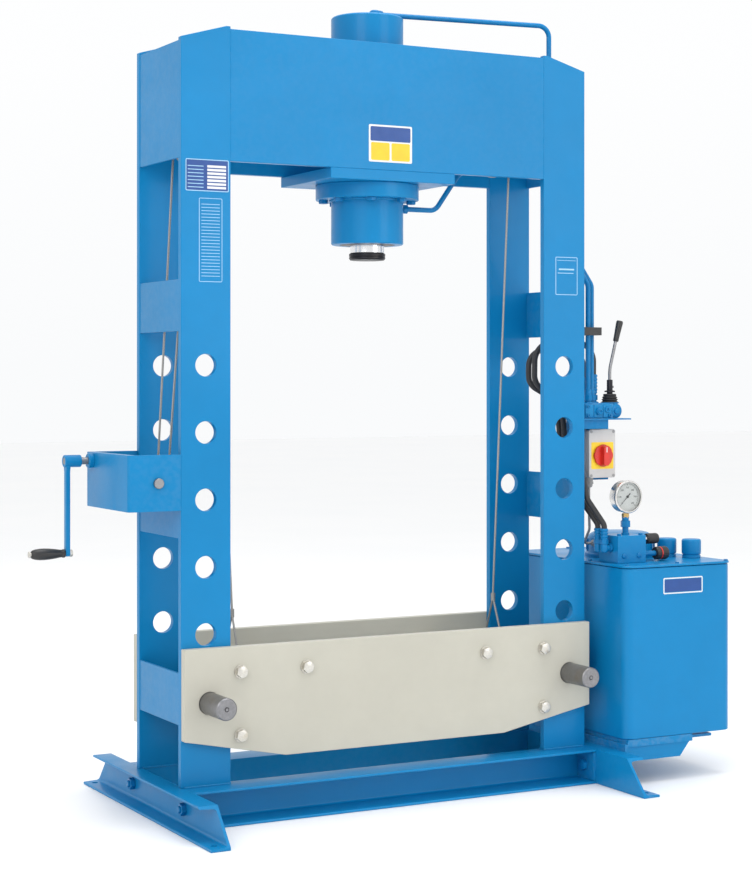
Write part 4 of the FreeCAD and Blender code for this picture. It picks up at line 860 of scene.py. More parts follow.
def build_winch():
    low = Vector((-0.800, LOW["winch_housing"].y, LOW["winch_housing"].z))
    high = HIGH["winch_housing"]
    wall = 0.006
    fold = 0.010
    outer = rectangle(high.x, low.y, low.x, high.y)
    inner = rectangle(high.x, high.y - wall, low.x + wall, low.y + wall)
    outline = rounded_outline(outer + inner, [0, fold, fold, 0, 0, fold - wall, fold - wall, 0])
    bm = bmesh.new()
    add_prism(bm, outline, (), low.z, high.z, "z")
    add_slab(bm, (low.x + wall, low.y + wall, low.z), (high.x, high.y - wall, low.z + wall))
    add_slab(bm, (low.x + wall, low.y + wall, high.z - wall),
        (low.x + 0.022, high.y - wall, high.z))
    worm_y, worm_z = 0.112, 0.9705
    boss = [(0.0102, 0), (0.0185, 0), (0.020, 0.0015), (0.020, 0.015), (0.0102, 0.015)]
    add_lathe(bm, boss, "x", (low.x - 0.015, worm_y, worm_z), 48)
    housing = from_bmesh("winch_folded_housing", bm, 0.0010, 2, tidy=False)
    settle(housing, blue, "frame", "press_blue", ["winch_housing"])
    drum_x, drum_z = -0.715, 0.918
    core, cheek = 0.058, 0.0645
    start, end = -0.120, 0.070
    half = 0.163
    drum = lathe("winch_rope_drum", [
        (0, -half - 0.009), (0.0125, -half - 0.009), (0.014, -half - 0.0075), (0.014, start),
        (cheek - 0.001, start),
        (cheek, start + 0.001), (cheek, start + 0.005), (core, start + 0.006), (core, end - 0.006),
        (cheek, end - 0.005),
        (cheek, end - 0.001), (cheek - 0.001, end), (0.014, end), (0.014, half + 0.0075),
        (0.0125, half + 0.009), (0, half + 0.009),
    ], "y", (drum_x, 0, drum_z), 0.0005, 2, 96)
    settle(drum, grey_steel, "drum", "dark_steel", ["winch_drum"])
    bm = bmesh.new()
    wound, wire, laps = 0.0612, 0.0029, 4.1
    for first, last in ((0.0068, 0.0335), (-0.0838, -0.1105)):
        sweep(bm, helix((drum_x, drum_z), wound, first, last, laps, 0.2, 40), wire, 10)
    keep("drum_rope_turns", bm, (), rope, "drum", "rope_steel")
    teeth = 24
    outline = []
    for i in range(teeth):
        for share, radius in ((-0.30, 0.0345), (-0.16, 0.0378), (0.16, 0.0378), (0.30, 0.0345)):
            angle = 2 * math.pi * (i + share) / teeth
            outline.append((drum_x + radius * math.cos(angle), drum_z + radius * math.sin(angle)))
    wheel = prism("worm_wheel_toothed", outline, worm_y - 0.012, worm_y + 0.012, "y",
        [circle((drum_x, drum_z), 0.0142, 40)], 0.0006)
    settle(wheel, bronze, "drum", "brass", ["worm_wheel"])
    bm = bmesh.new()
    x0, x1 = LOW["worm_shaft"].x, HIGH["worm_shaft"].x
    thread = x1 - 0.060
    add_lathe(bm, [(0, 0), (0.0085, 0), (0.010, 0.0015), (0.010, thread - x0),
        (0.0108, thread - x0), (0.0108, x1 - x0), (0, x1 - x0)],
              "x", (x0, worm_y, worm_z), 40)
    turns = 6
    points = []
    for i in range(turns * 24 + 1):
        angle = 2 * math.pi * i / 24
        x = thread + 0.004 + (0.052 * i) / (turns * 24)
        points.append((x, worm_y + 0.0112 * math.cos(angle), worm_z + 0.0112 * math.sin(angle)))
    sweep(bm, points, 0.0025, 8)
    keep("worm_screw_shaft", bm, (0.0004, 1), grey_steel, "crank", "dark_steel", ["worm_shaft"])
    crank_x = -0.873
    grip_z = LOW["crank_grip"].z + 0.016
    bm = bmesh.new()
    half_arm = 0.009
    path = [(worm_y + 0.0125, worm_z), (worm_y + 0.0125, worm_z - 0.012),
        (worm_y + half_arm, worm_z - 0.03),
            (worm_y + half_arm, grip_z), (worm_y + half_arm, grip_z - 0.009),
            (worm_y - half_arm, grip_z - 0.009),
            (worm_y - half_arm, grip_z), (worm_y - half_arm, worm_z - 0.03),
            (worm_y - 0.0125, worm_z - 0.012), (worm_y - 0.0125, worm_z)]
    outline = rounded_outline(path, [0, 0.02, 0.02, 0, 0.0088, 0.0088, 0, 0.02, 0.02, 0])
    add_prism(bm, outline, (), crank_x - 0.006, crank_x + 0.006, "x")
    add_lathe(bm, [(0.0102, 0), (0.0155, 0), (0.017, 0.0015), (0.017, 0.0465), (0.0155, 0.048),
        (0.0102, 0.048)],
              "x", (crank_x - 0.010, worm_y, worm_z), 48)
    arm = from_bmesh("crank_flat_arm", bm, 0.0018, 3, tidy=False)
    settle(arm, blue, "crank", "press_blue", ["crank_arm"])
    bm = bmesh.new()
    add_hex(bm, 0.0102, 0.008, "x", (crank_x + 0.006, worm_y, grip_z), 0.3)
    add_lathe(bm, [(0, 0), (0.0058, 0), (0.0058, 0.109), (0.009, 0.1095), (0.009, 0.112),
        (0.0075, 0.1135), (0, 0.1135)],
              "-x", (crank_x + 0.003, worm_y, grip_z), 32)
    keep("crank_spindle", bm, (0.0004, 1), plated, "crank", "plated_bolts")
    grip_start = HIGH["crank_grip"].x
    profile = [(0.0062, 0), (0.0105, 0), (0.0118, 0.0015), (0.0118, 0.006), (0.0105, 0.009),
        (0.0112, 0.016), (0.0135, 0.030),
               (0.0153, 0.046), (0.0160, 0.060), (0.0157, 0.072), (0.0143, 0.084), (0.0120, 0.092),
               (0.0095, 0.0955), (0.0062, 0.096)]
    grip = lathe("crank_turned_grip", profile, "-x", (grip_start, worm_y, grip_z), 0.0004, 2, 64)
    settle(grip, black, "crank_grip", "black_plastic", ["crank_grip"])


def build_pulleys():
    bm = bmesh.new()
    half = 0.014
    sheave = [(0.0091, -half), (0.022, -half), (0.0225, -half + 0.004), (0.046, -half + 0.004),
        (0.048, -half), (0.061, -half),
              (0.062, -half + 0.001), (0.0565, -0.0085), (0.0535, -0.006), (0.0526, 0.0),
              (0.0535, 0.006), (0.0565, 0.0085),
              (0.062, half - 0.001), (0.061, half), (0.048, half), (0.046, half - 0.004),
              (0.0225, half - 0.004), (0.022, half), (0.0091, half)]
    for y in (0.0, CROSS_ROPE_Y):
        add_lathe(bm, sheave, "y", (LEFT_SHEAVE_X, y, SHEAVE_Z), 80)
    keep("left_rope_sheaves", bm, (0.0004, 1), grey_steel, "left_pulleys", "dark_steel",
        ["left_pulleys"])
    wheel = lathe("right_rope_sheave", sheave, "y", (RIGHT_SHEAVE_X, CROSS_ROPE_Y, SHEAVE_Z),
        0.0004, 1, 80)
    settle(wheel, grey_steel, "right_pulley", "dark_steel", ["right_pulley"])
    dress(grey_steel, "pulley_axles")
    dress(rope, "left_rope", "right_rope", "rope_slings")


build_bars()
build_beam()
build_base()
build_bolster()
build_cylinder()
build_winch()
build_pulleys()


# ------------------------------------------------------------------ tank and lid
def build_tank():
    low, high = LOW["tank"], HIGH["tank"]
    corner = 0.030
    outline = rounded_outline(rectangle(low.x, low.y, high.x, high.y), corner, 10)
    shell = prism("tank_welded_shell", outline, low.z, high.z - 0.0015, "z", bevel=0.0035,
        segments=3)
    settle(shell, blue, "frame", "press_blue", ["tank"])
    lid_low, lid_high = LOW["tank_lid"], HIGH["tank_lid"]
    outline = rounded_outline(rectangle(lid_low.x, lid_low.y, lid_high.x, lid_high.y),
        corner + 0.003, 10)
    lid = prism("tank_lid_plate", outline, lid_low.z, lid_high.z, "z", bevel=0.0025, segments=3)
    settle(lid, blue, "frame", "press_blue", ["tank_lid"])
    bm = bmesh.new()
    inset = 0.016
    spots = []
    for y in (lid_low.y + inset, -0.10, 0.10, lid_high.y - inset):
        spots += [(lid_low.x + inset, y), (lid_high.x - inset, y)]
    spots += [((lid_low.x + lid_high.x) / 2, lid_low.y + inset),
        ((lid_low.x + lid_high.x) / 2, lid_high.y - inset)]
    for index, (x, y) in enumerate(spots):
        add_hex(bm, 0.0066, 0.004, "z", (x, y, lid_high.z), index * 0.5)
    keep("lid_screws", bm, (0.0002, 1, 40.0), deep_blue, "frame", "plated_bolts")
    dress(blue, "tank_bracket")


def build_power_pack():
    lid_top = HIGH["tank_lid"].z
    motor_x = 0.895
    motor = lathe("motor_cover_dome", [
        (0, 0), (0.110, 0), (0.110, 0.009), (0.106, 0.012), (0.104, 0.018), (0.1035, 0.052),
        (0.101, 0.060), (0.094, 0.068),
        (0.084, 0.0735), (0.074, 0.0755), (0, 0.076),
    ], "z", (motor_x, 0, lid_top), 0.0008, 2, 96)
    settle(motor, blue, "frame", "press_blue", ["motor"])
    bm = bmesh.new()
    boss_x = LOW["motor"].x
    add_slab(bm, (boss_x, -0.040, lid_top + 0.030), (motor_x - 0.085, -0.012, lid_top + 0.060))
    for i in range(18):
        angle = 2 * math.pi * i / 18
        if abs(math.degrees(angle) - 190) < 24:
            continue
        x, y = motor_x + 0.1045 * math.cos(angle), 0.1045 * math.sin(angle)
        tangent = Vector((-math.sin(angle), math.cos(angle), 0)) * 0.0018
        radial = Vector((math.cos(angle), math.sin(angle), 0)) * 0.003
        corners = [Vector((x, y, 0)) + a * tangent + b * radial for a,
            b in ((-1, -1), (1, -1), (1, 1), (-1, 1))]
        add_prism(bm, [(c.x, c.y) for c in corners], (), lid_top + 0.016, lid_top + 0.054, "z")
    keep("motor_cover_ribs", bm, (0.0006, 2), blue, "frame", "press_blue")
    dress(black_oxide, "pump")
    low, high = LOW["manifold"], HIGH["manifold"]
    block = slabs("manifold_block", [(low, high)], 0.0016, 3)
    settle(block, blue, "frame", "press_blue", ["manifold"])
    bm = bmesh.new()
    for x in (low.x + 0.022, high.x - 0.026):
        add_hex(bm, 0.0085, 0.003, "-y", (x, low.y, low.z + 0.022), 0.2)
    for dx, dy in ((0.012, 0.012), (0.012, 0.088), (0.090, 0.088), (0.090, 0.012)):
        screw = [(0, 0), (0.0062, 0), (0.0065, 0.0008), (0.0065, 0.005), (0.0058, 0.006),
            (0.0034, 0.006), (0.0034, 0.003), (0, 0.003)]
        add_lathe(bm, screw, "z", (low.x + dx, low.y + dy, high.z), 28)
    keep("manifold_plugs", bm, (0.0002, 1, 40.0), deep_blue, "frame", "plated_bolts")
    # valve knobs on the side of the manifold
    knob_y, knob_z = -0.175, high.z - 0.016
    bm = bmesh.new()
    add_lathe(bm, [(0, 0), (0.0115, 0), (0.012, 0.001), (0.012, 0.014), (0.0098, 0.015),
        (0.0098, 0.026), (0.0088, 0.027), (0.0088, 0.036), (0, 0.036)],
              "x", (high.x + 0.0006, knob_y, knob_z), 48)
    keep("pressure_valve_neck", bm, (0.0004, 1), chrome, "pressure_knob", "bright_steel")
    grip = knurled([(0, 0), (0.0145, 0), (0.016, 0.002), (0.016, 0.036), (0.0145, 0.039),
        (0, 0.0395)], 30, 0.0007)
    piece = place_mesh("pressure_adjusting_knob", grip, "x", (high.x + 0.0366, knob_y, knob_z))
    settle(piece, black, "pressure_knob", "black_plastic", ["pressure_knob"])
    knob_y, knob_z = -0.197, low.z + 0.023
    bm = bmesh.new()
    add_hex(bm, 0.0125, 0.018, "x", (high.x + 0.0006, knob_y, knob_z), 0.1)
    add_lathe(bm, plain_rod(0.008, 0.035), "x", (high.x + 0.0186, knob_y, knob_z), 36)
    keep("relief_valve_neck", bm, (0.0005, 1), deep_blue, "relief_knob", "plated_bolts")
    grip = knurled([(0, 0), (0.0175, 0), (0.0195, 0.002), (0.0195, 0.014), (0.0185, 0.0155),
        (0.0185, 0.019), (0.0200, 0.0205), (0.0200, 0.038), (0.018, 0.0415), (0, 0.042)], 24,
        0.0008)
    piece = place_mesh("relief_adjusting_knob", grip, "x", (high.x + 0.053, knob_y, knob_z))
    settle(piece, black, "relief_knob", "black_plastic", ["relief_knob"])
    bm = bmesh.new()
    add_lathe(bm, rectangle(0.0180, 0, 0.0193, 0.0035), "x", (high.x + 0.0685, knob_y, knob_z), 48)
    keep("relief_knob_ring", bm, (), red, "relief_knob", "red_plastic")
    # caps
    for node, body, gap in (("filler_cap", "filler_cap", 0.0005), ("breather_cap", "frame", 0.0)):
        low, high = LOW[node], HIGH[node]
        centre = ((low.x + high.x) / 2, (low.y + high.y) / 2, lid_top + gap)
        height = high.z - centre[2]
        profile = [(0, 0), (0.0275, 0), (0.0285, 0.001), (0.0285, 0.007), (0.0265, 0.0085),
            (0.0265, 0.0105), (0.0292, 0.0125), (0.0298, 0.018),
                   (0.0298, height - 0.007), (0.0290, height - 0.003), (0.0265, height - 0.0006),
                   (0.023, height), (0, height - 0.0005)]
        cap = place_mesh(node + "_turned", knurled(profile, 40, 0.00035, 0.014, height - 0.01), "z",
            centre)
        settle(cap, blue, body, "press_blue", [node])


def knurled(profile, ribs, depth, start=None, end=None):
    """A turned knob whose wall carries upright ribs between two heights."""
    bm = bmesh.new()
    count = ribs * 6
    heights = [height for _, height in profile]
    start = min(heights) + 0.003 if start is None else start
    end = max(heights) - 0.004 if end is None else end
    widest = max(radius for radius, _ in profile)
    rings = []
    for radius, height in profile:
        if radius < 1e-7:
            rings.append([bm.verts.new((0, 0, height))])
            continue
        ring = []
        for i in range(count):
            angle = 2 * math.pi * i / count
            in_band = start - 0.002 <= height <= end + 0.002
            ribbed = in_band and radius > 0.8 * widest
            reach = radius - (depth * (0.5 - 0.5 * math.cos(angle * ribs)) if ribbed else 0.0)
            ring.append(bm.verts.new((reach * math.cos(angle), reach * math.sin(angle), height)))
        rings.append(ring)
    for first, second in zip(rings, rings[1:]):
        bridge(bm, first, second)
    bmesh.ops.recalc_face_normals(bm, faces=bm.faces)
    return bm


def place_mesh(name, bm, axis, at):
    put(bm, axis, at)
    return from_bmesh(name, bm, None, 1, 40.0, tidy=False)


# ------------------------------------------------------------------ gauge
def build_gauge():
    low, high = LOW["gauge_case"], HIGH["gauge_case"]
    x, z = (low.x + high.x) / 2, (low.z + high.z) / 2
    radius = (high.x - low.x) / 2
    front = low.y
    depth = high.y - low.y
    case = lathe("gauge_steel_case", [
        (0.0470, 0.0015), (0.0442, 0.0012), (0.0440, 0.0), (0.0475, 0.0), (0.0494, 0.0012),
        (radius, 0.0035), (radius, 0.0085), (0.0488, 0.0105),
        (0.0483, 0.012), (0.0483, depth - 0.005), (0.0465, depth - 0.0015), (0.043, depth),
        (0, depth), (0, depth - 0.003), (0.0470, depth - 0.006),
    ], "y", (x, front, z), 0.0003, 1, 96)
    settle(case, stainless, "frame", "gauge_metal", ["gauge_case"])
    face = front + 0.0095
    dial = lathe("gauge_dial_plate", rectangle(0.0023, 0, 0.0462, 0.001), "y", (x, face, z), None,
        1, 96)
    settle(dial, dial_white, "frame", "gauge_metal")
    bm = bmesh.new()
    for step in range(61):
        angle = math.radians(225 - 270 * step / 60)
        major = step % 10 == 0
        inner, outer, half = (0.0335 if major else 0.0365), 0.0398, (0.00045 if major else 0.0002)
        along = Vector((math.cos(angle), math.sin(angle)))
        across = Vector((-along.y, along.x)) * half
        corners = [
            along * inner - across, along * inner + across,
            along * outer + across, along * outer - across,
        ]
        add_prism(bm, [(x + c.x, z + c.y) for c in corners], (), face - 0.00025, face, "y")
    turns = [math.radians(225 - 270 * i / 90) for i in range(91)]
    arc = [(x + 0.0400 * math.cos(a), z + 0.0400 * math.sin(a)) for a in turns]
    arc += [(x + 0.0394 * math.cos(a), z + 0.0394 * math.sin(a)) for a in reversed(turns)]
    add_prism(bm, arc, (), face - 0.0002, face, "y")
    keep("gauge_dial_scale", bm, (), black, "frame", "black_plastic")
    numbers = []
    for index in range(7):
        angle = math.radians(225 - 45 * index)
        text = bpy.data.curves.new("dial_number_%d" % index, "FONT")
        text.body = str(index * 100)
        text.size = 0.0074
        text.align_x = "CENTER"
        text.align_y = "CENTER"
        text.extrude = 0.0001
        obj = bpy.data.objects.new("dial_number_%d" % index, text)
        bpy.context.scene.collection.objects.link(obj)
        obj.location = (x + 0.0275 * math.cos(angle), face - 0.0001, z + 0.0275 * math.sin(angle))
        obj.rotation_euler = (math.radians(90), 0, 0)
        numbers.append(obj)
    bpy.context.view_layer.update()
    bm = bmesh.new()
    for obj in numbers:
        view = bpy.context.evaluated_depsgraph_get()
        mesh = bpy.data.meshes.new_from_object(obj.evaluated_get(view))
        mesh.transform(obj.matrix_world)
        bm.from_mesh(mesh)
        bpy.data.meshes.remove(mesh)
        bpy.data.objects.remove(obj)
    keep("gauge_dial_numbers", bm, (), black, "frame", "black_plastic")
    window = lathe("gauge_window", plain_rod(0.0440, 0.0018), "y", (x, front + 0.0014, z), 0.0002,
        1, 96)
    settle(window, glass, "frame", "gauge_window")
    # needle: a thin tip towards zero and a broad tail
    bm = bmesh.new()
    outline = [(-0.0017, -0.014), (0.0017, -0.014), (0.0013, 0.0), (0.0003, 0.036),
        (-0.0003, 0.036), (-0.0013, 0.0)]
    turn = Matrix.Rotation(math.radians(135), 2)
    points = [turn @ Vector(p) for p in outline]
    add_prism(bm, [(x + p.x, z + p.y) for p in points], (), face - 0.0016, face - 0.0009, "y")
    add_lathe(bm, [(0, 0), (0.0035, 0), (0.004, 0.0006), (0.004, 0.0022), (0.002, 0.0022),
        (0.002, 0.007), (0, 0.007)], "y", (x, face - 0.0028, z), 32)
    keep("gauge_pointer", bm, (0.0001, 1), black, "gauge_needle", "black_plastic", ["gauge_needle"])
    # stem: blue union below and a brass neck above
    top = HIGH["manifold"].z
    case_foot = low.z
    y = LOW["gauge_stem"].y + (HIGH["gauge_stem"].y - LOW["gauge_stem"].y) / 2
    bm = bmesh.new()
    add_lathe(bm, [(0, 0), (0.0125, 0), (0.0125, 0.004), (0.0095, 0.006), (0.0095, 0.022),
        (0, 0.022)], "z", (x, y, top), 40)
    add_hex(bm, 0.0150, 0.020, "z", (x, y, top + 0.022), 0.2)
    add_lathe(bm, [(0, 0), (0.0105, 0), (0.0105, 0.010), (0.008, 0.013), (0, 0.013)], "z",
        (x, y, top + 0.042), 40)
    keep("gauge_union", bm, (0.0006, 2), deep_blue, "frame", "brass", ["gauge_stem"])
    bm = bmesh.new()
    start = top + 0.055
    add_lathe(bm, plain_rod(0.0075, case_foot - 0.014 - start), "z", (x, y, start), 36)
    add_hex(bm, 0.0112, 0.014, "z", (x, y, case_foot - 0.0145), 0.5)
    keep("gauge_brass_neck", bm, (0.0004, 1), brass, "frame", "brass")


build_tank()
build_power_pack()
build_gauge()


# ------------------------------------------------------------------ valve, switch and pipes
LEVER = (0.778, -0.110)
PIPE_PORTS = ((0.711, -0.110), (0.688, -0.125))
HOSE_PORTS = ((0.733, -0.088), (0.703, -0.078))


def build_valve():
    high = HIGH["valve_body"]
    lever_x, lever_y = LEVER
    dress(blue, "valve_body")
    dress(deep_blue, "valve_bracket", "top_pipe", "return_pipe")
    dress(black, "pipe_clip")
    dress(rubber, "hoses")
    dress(cable_grey, "switch_cable")
    boot_top = high.z
    boot = lathe("lever_rubber_boot", [
        (0.0235, 0), (0.0260, 0), (0.0265, 0.0015), (0.0262, 0.004), (0.0245, 0.0055),
        (0.0215, 0.0075), (0.0222, 0.0090), (0.0248, 0.0105),
        (0.0245, 0.0125), (0.0205, 0.0145), (0.0210, 0.0160), (0.0232, 0.0175), (0.0228, 0.0195),
        (0.0188, 0.0215), (0.0192, 0.0230), (0.0205, 0.0245),
        (0.0195, 0.0275), (0.0175, 0.029), (0.0156, 0.029), (0.0165, 0.020), (0.0195, 0.008),
    ], "z", (lever_x, lever_y, boot_top), 0.0003, 1, 64)
    settle(boot, boot_rubber, "frame", "black_rubber", ["valve_boot"])
    pivot = 1.115
    socket_top = 1.194
    bm = bmesh.new()
    add_lathe(bm, [(0, -0.010), (0.007, -0.008), (0.010, -0.002), (0.010, 0.004), (0.0072, 0.010),
        (0.0085, 0.024), (0.0090, 0.026),
                   (0.0090, socket_top - pivot - 0.002), (0.0080, socket_top - pivot),
                   (0, socket_top - pivot)], "z", (lever_x, lever_y, pivot), 40)
    add_lathe(bm, [(0.009, 0), (0.0160, 0), (0.0165, 0.0012), (0.0160, 0.004), (0.009, 0.006)], "z",
        (lever_x, lever_y, boot_top + 0.034), 40)
    keep("lever_socket", bm, (0.0004, 1), black_oxide, "lever", "black_plastic", ["valve_lever"])
    bm = bmesh.new()
    lean_top = (lever_x + 0.028, lever_y, 1.335)
    first = Vector((lever_x, lever_y, 1.212))
    corner = Vector((lever_x, lever_y, 1.226))
    last = corner + (Vector(lean_top) - corner).normalized() * 0.014
    bend = [(lever_x, lever_y, socket_top - 0.004), first]
    for i in range(9):
        share = i / 8
        middle = corner * (2 * share * (1 - share))
        bend.append(first * (1 - share) ** 2 + middle + last * share ** 2)
    bend.append(Vector(lean_top))
    sweep(bm, bend, 0.0049, 20)
    add_hex(bm, 0.0042, 0.004, "x", (lever_x + 0.0088, lever_y, socket_top - 0.022), 0.1)
    keep("lever_bent_rod", bm, (), grey_steel, "lever", "plated_bolts")
    start = corner.lerp(Vector(lean_top), 0.78)
    way = (Vector(lean_top) - corner).normalized()
    profile = [(0.0052, 0), (0.0078, 0), (0.0084, 0.002), (0.0086, 0.012), (0.0092, 0.028),
        (0.0100, 0.044), (0.0106, 0.056), (0.0104, 0.061), (0.0090, 0.0640), (0.005, 0.065),
        (0, 0.0652),
               (0, 0.028), (0.0052, 0.028)]
    bm = bmesh.new()
    add_lathe(bm, profile, tuple(way), tuple(start), 48)
    keep("lever_hand_grip", bm, (), black, "lever", "black_plastic", ["lever_grip"])


def ferrule(length, radius=0.0125, ribs=5):
    """Profile of a crimped hose end: a plain lip, pressed ribs and an open mouth."""
    step = (length - 0.006) / ribs
    profile = [(0, 0), (radius - 0.0016, 0), (radius - 0.0006, 0.0012), (radius - 0.0006, 0.004)]
    for i in range(ribs):
        start = 0.004 + step * i
        profile += [(radius - 0.0015, start + step * 0.12), (radius - 0.0015, start + step * 0.38),
                    (radius, start + step * 0.55), (radius, start + step * 0.92)]
    return profile + [(radius - 0.0006, length - 0.001), (radius - 0.0020, length), (0, length)]


def build_unions():
    """Nuts on the pipes, crimped ferrules on the hoses and a cable gland at each cable end."""
    foot = HIGH["valve_body"].z
    riser_top, hose_top, return_top = 1.165, 1.210, 1.200
    bm = bmesh.new()
    for x, y in PIPE_PORTS:
        add_lathe(bm, [(0, 0), (0.0112, 0), (0.0120, 0.0008), (0.0120, 0.005), (0.0094, 0.006),
            (0.0094, 0.010), (0, 0.010)], "z", (x, y, foot), 36)
        add_hex(bm, 0.0130, 0.017, "z", (x, y, foot + 0.009), 0.2)
        reach = riser_top - foot - 0.026
        add_lathe(bm, [(0, 0), (0.0102, 0), (0.0102, reach * 0.5), (0.0090, reach * 0.9),
            (0.0078, reach), (0, reach)], "z", (x, y, foot + 0.026), 36)
    for (x, y), top, turn in zip(HOSE_PORTS, (hose_top, return_top), (0.5, 0.1)):
        add_lathe(bm, [(0, 0), (0.0112, 0), (0.0120, 0.0008), (0.0120, 0.006), (0.0098, 0.007),
            (0.0098, 0.012), (0, 0.012)], "z", (x, y, foot), 36)
        add_hex(bm, 0.0132, 0.016, "z", (x, y, foot + 0.010), turn)
        add_lathe(bm, plain_rod(0.0090, 0.005), "z", (x, y, foot + 0.026), 32)
        add_lathe(bm, ferrule(top - foot - 0.030), "z", (x, y, foot + 0.030), 48)
    # the hoses' lower ends: ferrule, nut, elbow and the nipple into the manifold
    port, manifold_side = 0.690, LOW["manifold"].x
    for x, y in ((0.702, -0.190), (0.700, -0.160)):
        add_lathe(bm, [(0, 0), (0.0085, 0), (0.0112, 0.0028), (0.0116, 0.006), (0.0116, 0.021),
            (0.0096, 0.0255), (0, 0.0255)], "z", (x, y, port - 0.0125), 40)
        add_hex(bm, 0.0132, 0.013, "z", (x, y, port + 0.012), 0.4)
        add_lathe(bm, ferrule(0.034, 0.0118, 3), "z", (x, y, port + 0.0245), 48)
        add_lathe(bm, [(0, 0), (0.0100, 0), (0.0100, 0.014), (0.0088, 0.015),
            (0.0088, manifold_side - x), (0, manifold_side - x)], "x", (x, y, port), 36)
        add_hex(bm, 0.0132, 0.009, "x", (manifold_side - 0.0095, y, port), 0.3)
    # the cylinder's side port and its top elbow
    side_port = 1.695
    add_lathe(bm, [(0, 0), (0.0125, 0), (0.0125, 0.006), (0.0100, 0.008), (0.0100, 0.027),
        (0.0085, 0.030), (0, 0.030)], "x", (0.105, 0, side_port), 40)
    add_hex(bm, 0.0150, 0.016, "x", (0.115, 0, side_port), 0.1)
    head = HIGH["cylinder_barrel"].z
    add_hex(bm, 0.0190, 0.006, "z", (0.025, 0, head), 0.2)
    add_lathe(bm, [(0, 0), (0.0165, 0), (0.0165, 0.014), (0.0150, 0.019), (0.0110, 0.022),
        (0, 0.022)], "z", (0.025, 0, head + 0.004), 48)
    add_lathe(bm, [(0, 0), (0.0105, 0), (0.0105, 0.010), (0.0088, 0.012), (0.0088, 0.026),
        (0, 0.026)], "x", (0.025, 0, head + 0.015), 36)
    add_hex(bm, 0.0130, 0.010, "x", (0.038, 0, head + 0.015), 0.4)
    keep("pipe_nuts_and_ferrules", bm, (0.0005, 1, 38.0), deep_blue, "frame", "press_blue",
        ["pipe_unions"])
    bm = bmesh.new()
    gland_top = LOW["switch_box"].z
    gland = (0.712, -0.095)
    add_lathe(bm, [(0, 0), (0.0045, 0), (0.0085, 0.001), (0.0105, 0.004), (0.0112, 0.008),
        (0.0112, 0.012), (0, 0.012)], "z", (*gland, gland_top - 0.030), 40)
    add_hex(bm, 0.0138, 0.008, "z", (*gland, gland_top - 0.019), 0.2)
    add_lathe(bm, [(0, 0), (0.0110, 0), (0.0130, 0.008), (0.0140, 0.011), (0, 0.011)], "z",
        (*gland, gland_top - 0.011), 40)
    add_lathe(bm, [(0, 0), (0.0060, 0), (0.0090, 0.003), (0.0095, 0.006), (0, 0.006)], "x",
        (0.768, -0.026, port), 32)
    add_hex(bm, 0.0110, 0.0065, "x", (0.7735, -0.026, port), 0.3)
    keep("cable_glands", bm, (0.0003, 1, 38.0), cable_grey, "frame", "grey_plastic")


def build_valve_fittings():
    """Cast sections, port bosses, plugs and tie-bolt nuts on the control valve."""
    low, high = LOW["valve_body"], HIGH["valve_body"]
    front = low.y
    bm = bmesh.new()
    for x0, x1 in ((0.6645, 0.6930), (0.6955, 0.7265), (0.7290, 0.7575)):
        add_slab(bm, (x0, front - 0.0028, low.z + 0.002), (x1, front + 0.004, high.z - 0.003))
        add_slab(bm, (x0, front + 0.006, high.z - 0.002), (x1, -0.0665, high.z + 0.0014))
    keep("valve_cast_sections", bm, (0.0022, 3), blue, "frame", "press_blue")
    bm = bmesh.new()
    for x, y in PIPE_PORTS + HOSE_PORTS:
        add_lathe(bm, [(0.0110, 0), (0.0160, 0), (0.0160, 0.0035), (0.0150, 0.0050),
            (0.0118, 0.0050)], "z", (x, y, high.z), 44)
    add_hex(bm, 0.0115, 0.007, "-y", (0.711, front - 0.0028, 1.099), 0.2)
    add_lathe(bm, [(0, 0), (0.0082, 0), (0.0082, 0.003), (0.0070, 0.004), (0.0045, 0.004),
        (0.0038, 0.0015), (0, 0.0012)], "-y", (0.711, front - 0.0098, 1.099), 36)
    add_lathe(bm, [(0, 0), (0.0085, 0), (0.0092, 0.0006), (0.0092, 0.0032), (0.0080, 0.0042),
        (0.0044, 0.0042), (0.0040, 0.0012), (0, 0.0010)], "-y", (0.743, front - 0.0028, 1.104), 36)
    for x, z in ((0.6725, 1.1135), (0.6725, 1.0870), (0.7510, 1.0860)):
        add_lathe(bm, [(0, 0), (0.0048, 0), (0.0050, 0.0004), (0.0050, 0.0040), (0.0044, 0.0046),
            (0.0028, 0.0046), (0.0026, 0.0020), (0, 0.0018)], "-y", (x, front - 0.0028, z), 28)
    add_lathe(bm, [(0, 0), (0.0190, 0), (0.0200, 0.0010), (0.0200, 0.0032), (0.0185, 0.0044),
        (0, 0.0048)], "-y", (LEVER[0], -0.1410, 1.0995), 56)
    add_hex(bm, 0.0095, 0.0055, "-y", (LEVER[0], -0.1455, 1.0995), 0.25)
    add_lathe(bm, [(0.0262, 0), (0.0285, 0), (0.0290, 0.0006), (0.0290, 0.0022), (0.0272, 0.0030),
        (0.0262, 0.0030)], "z", (*LEVER, high.z), 56)
    keep("valve_plugs", bm, (0.0004, 1, 38.0), deep_blue, "frame", "press_blue")


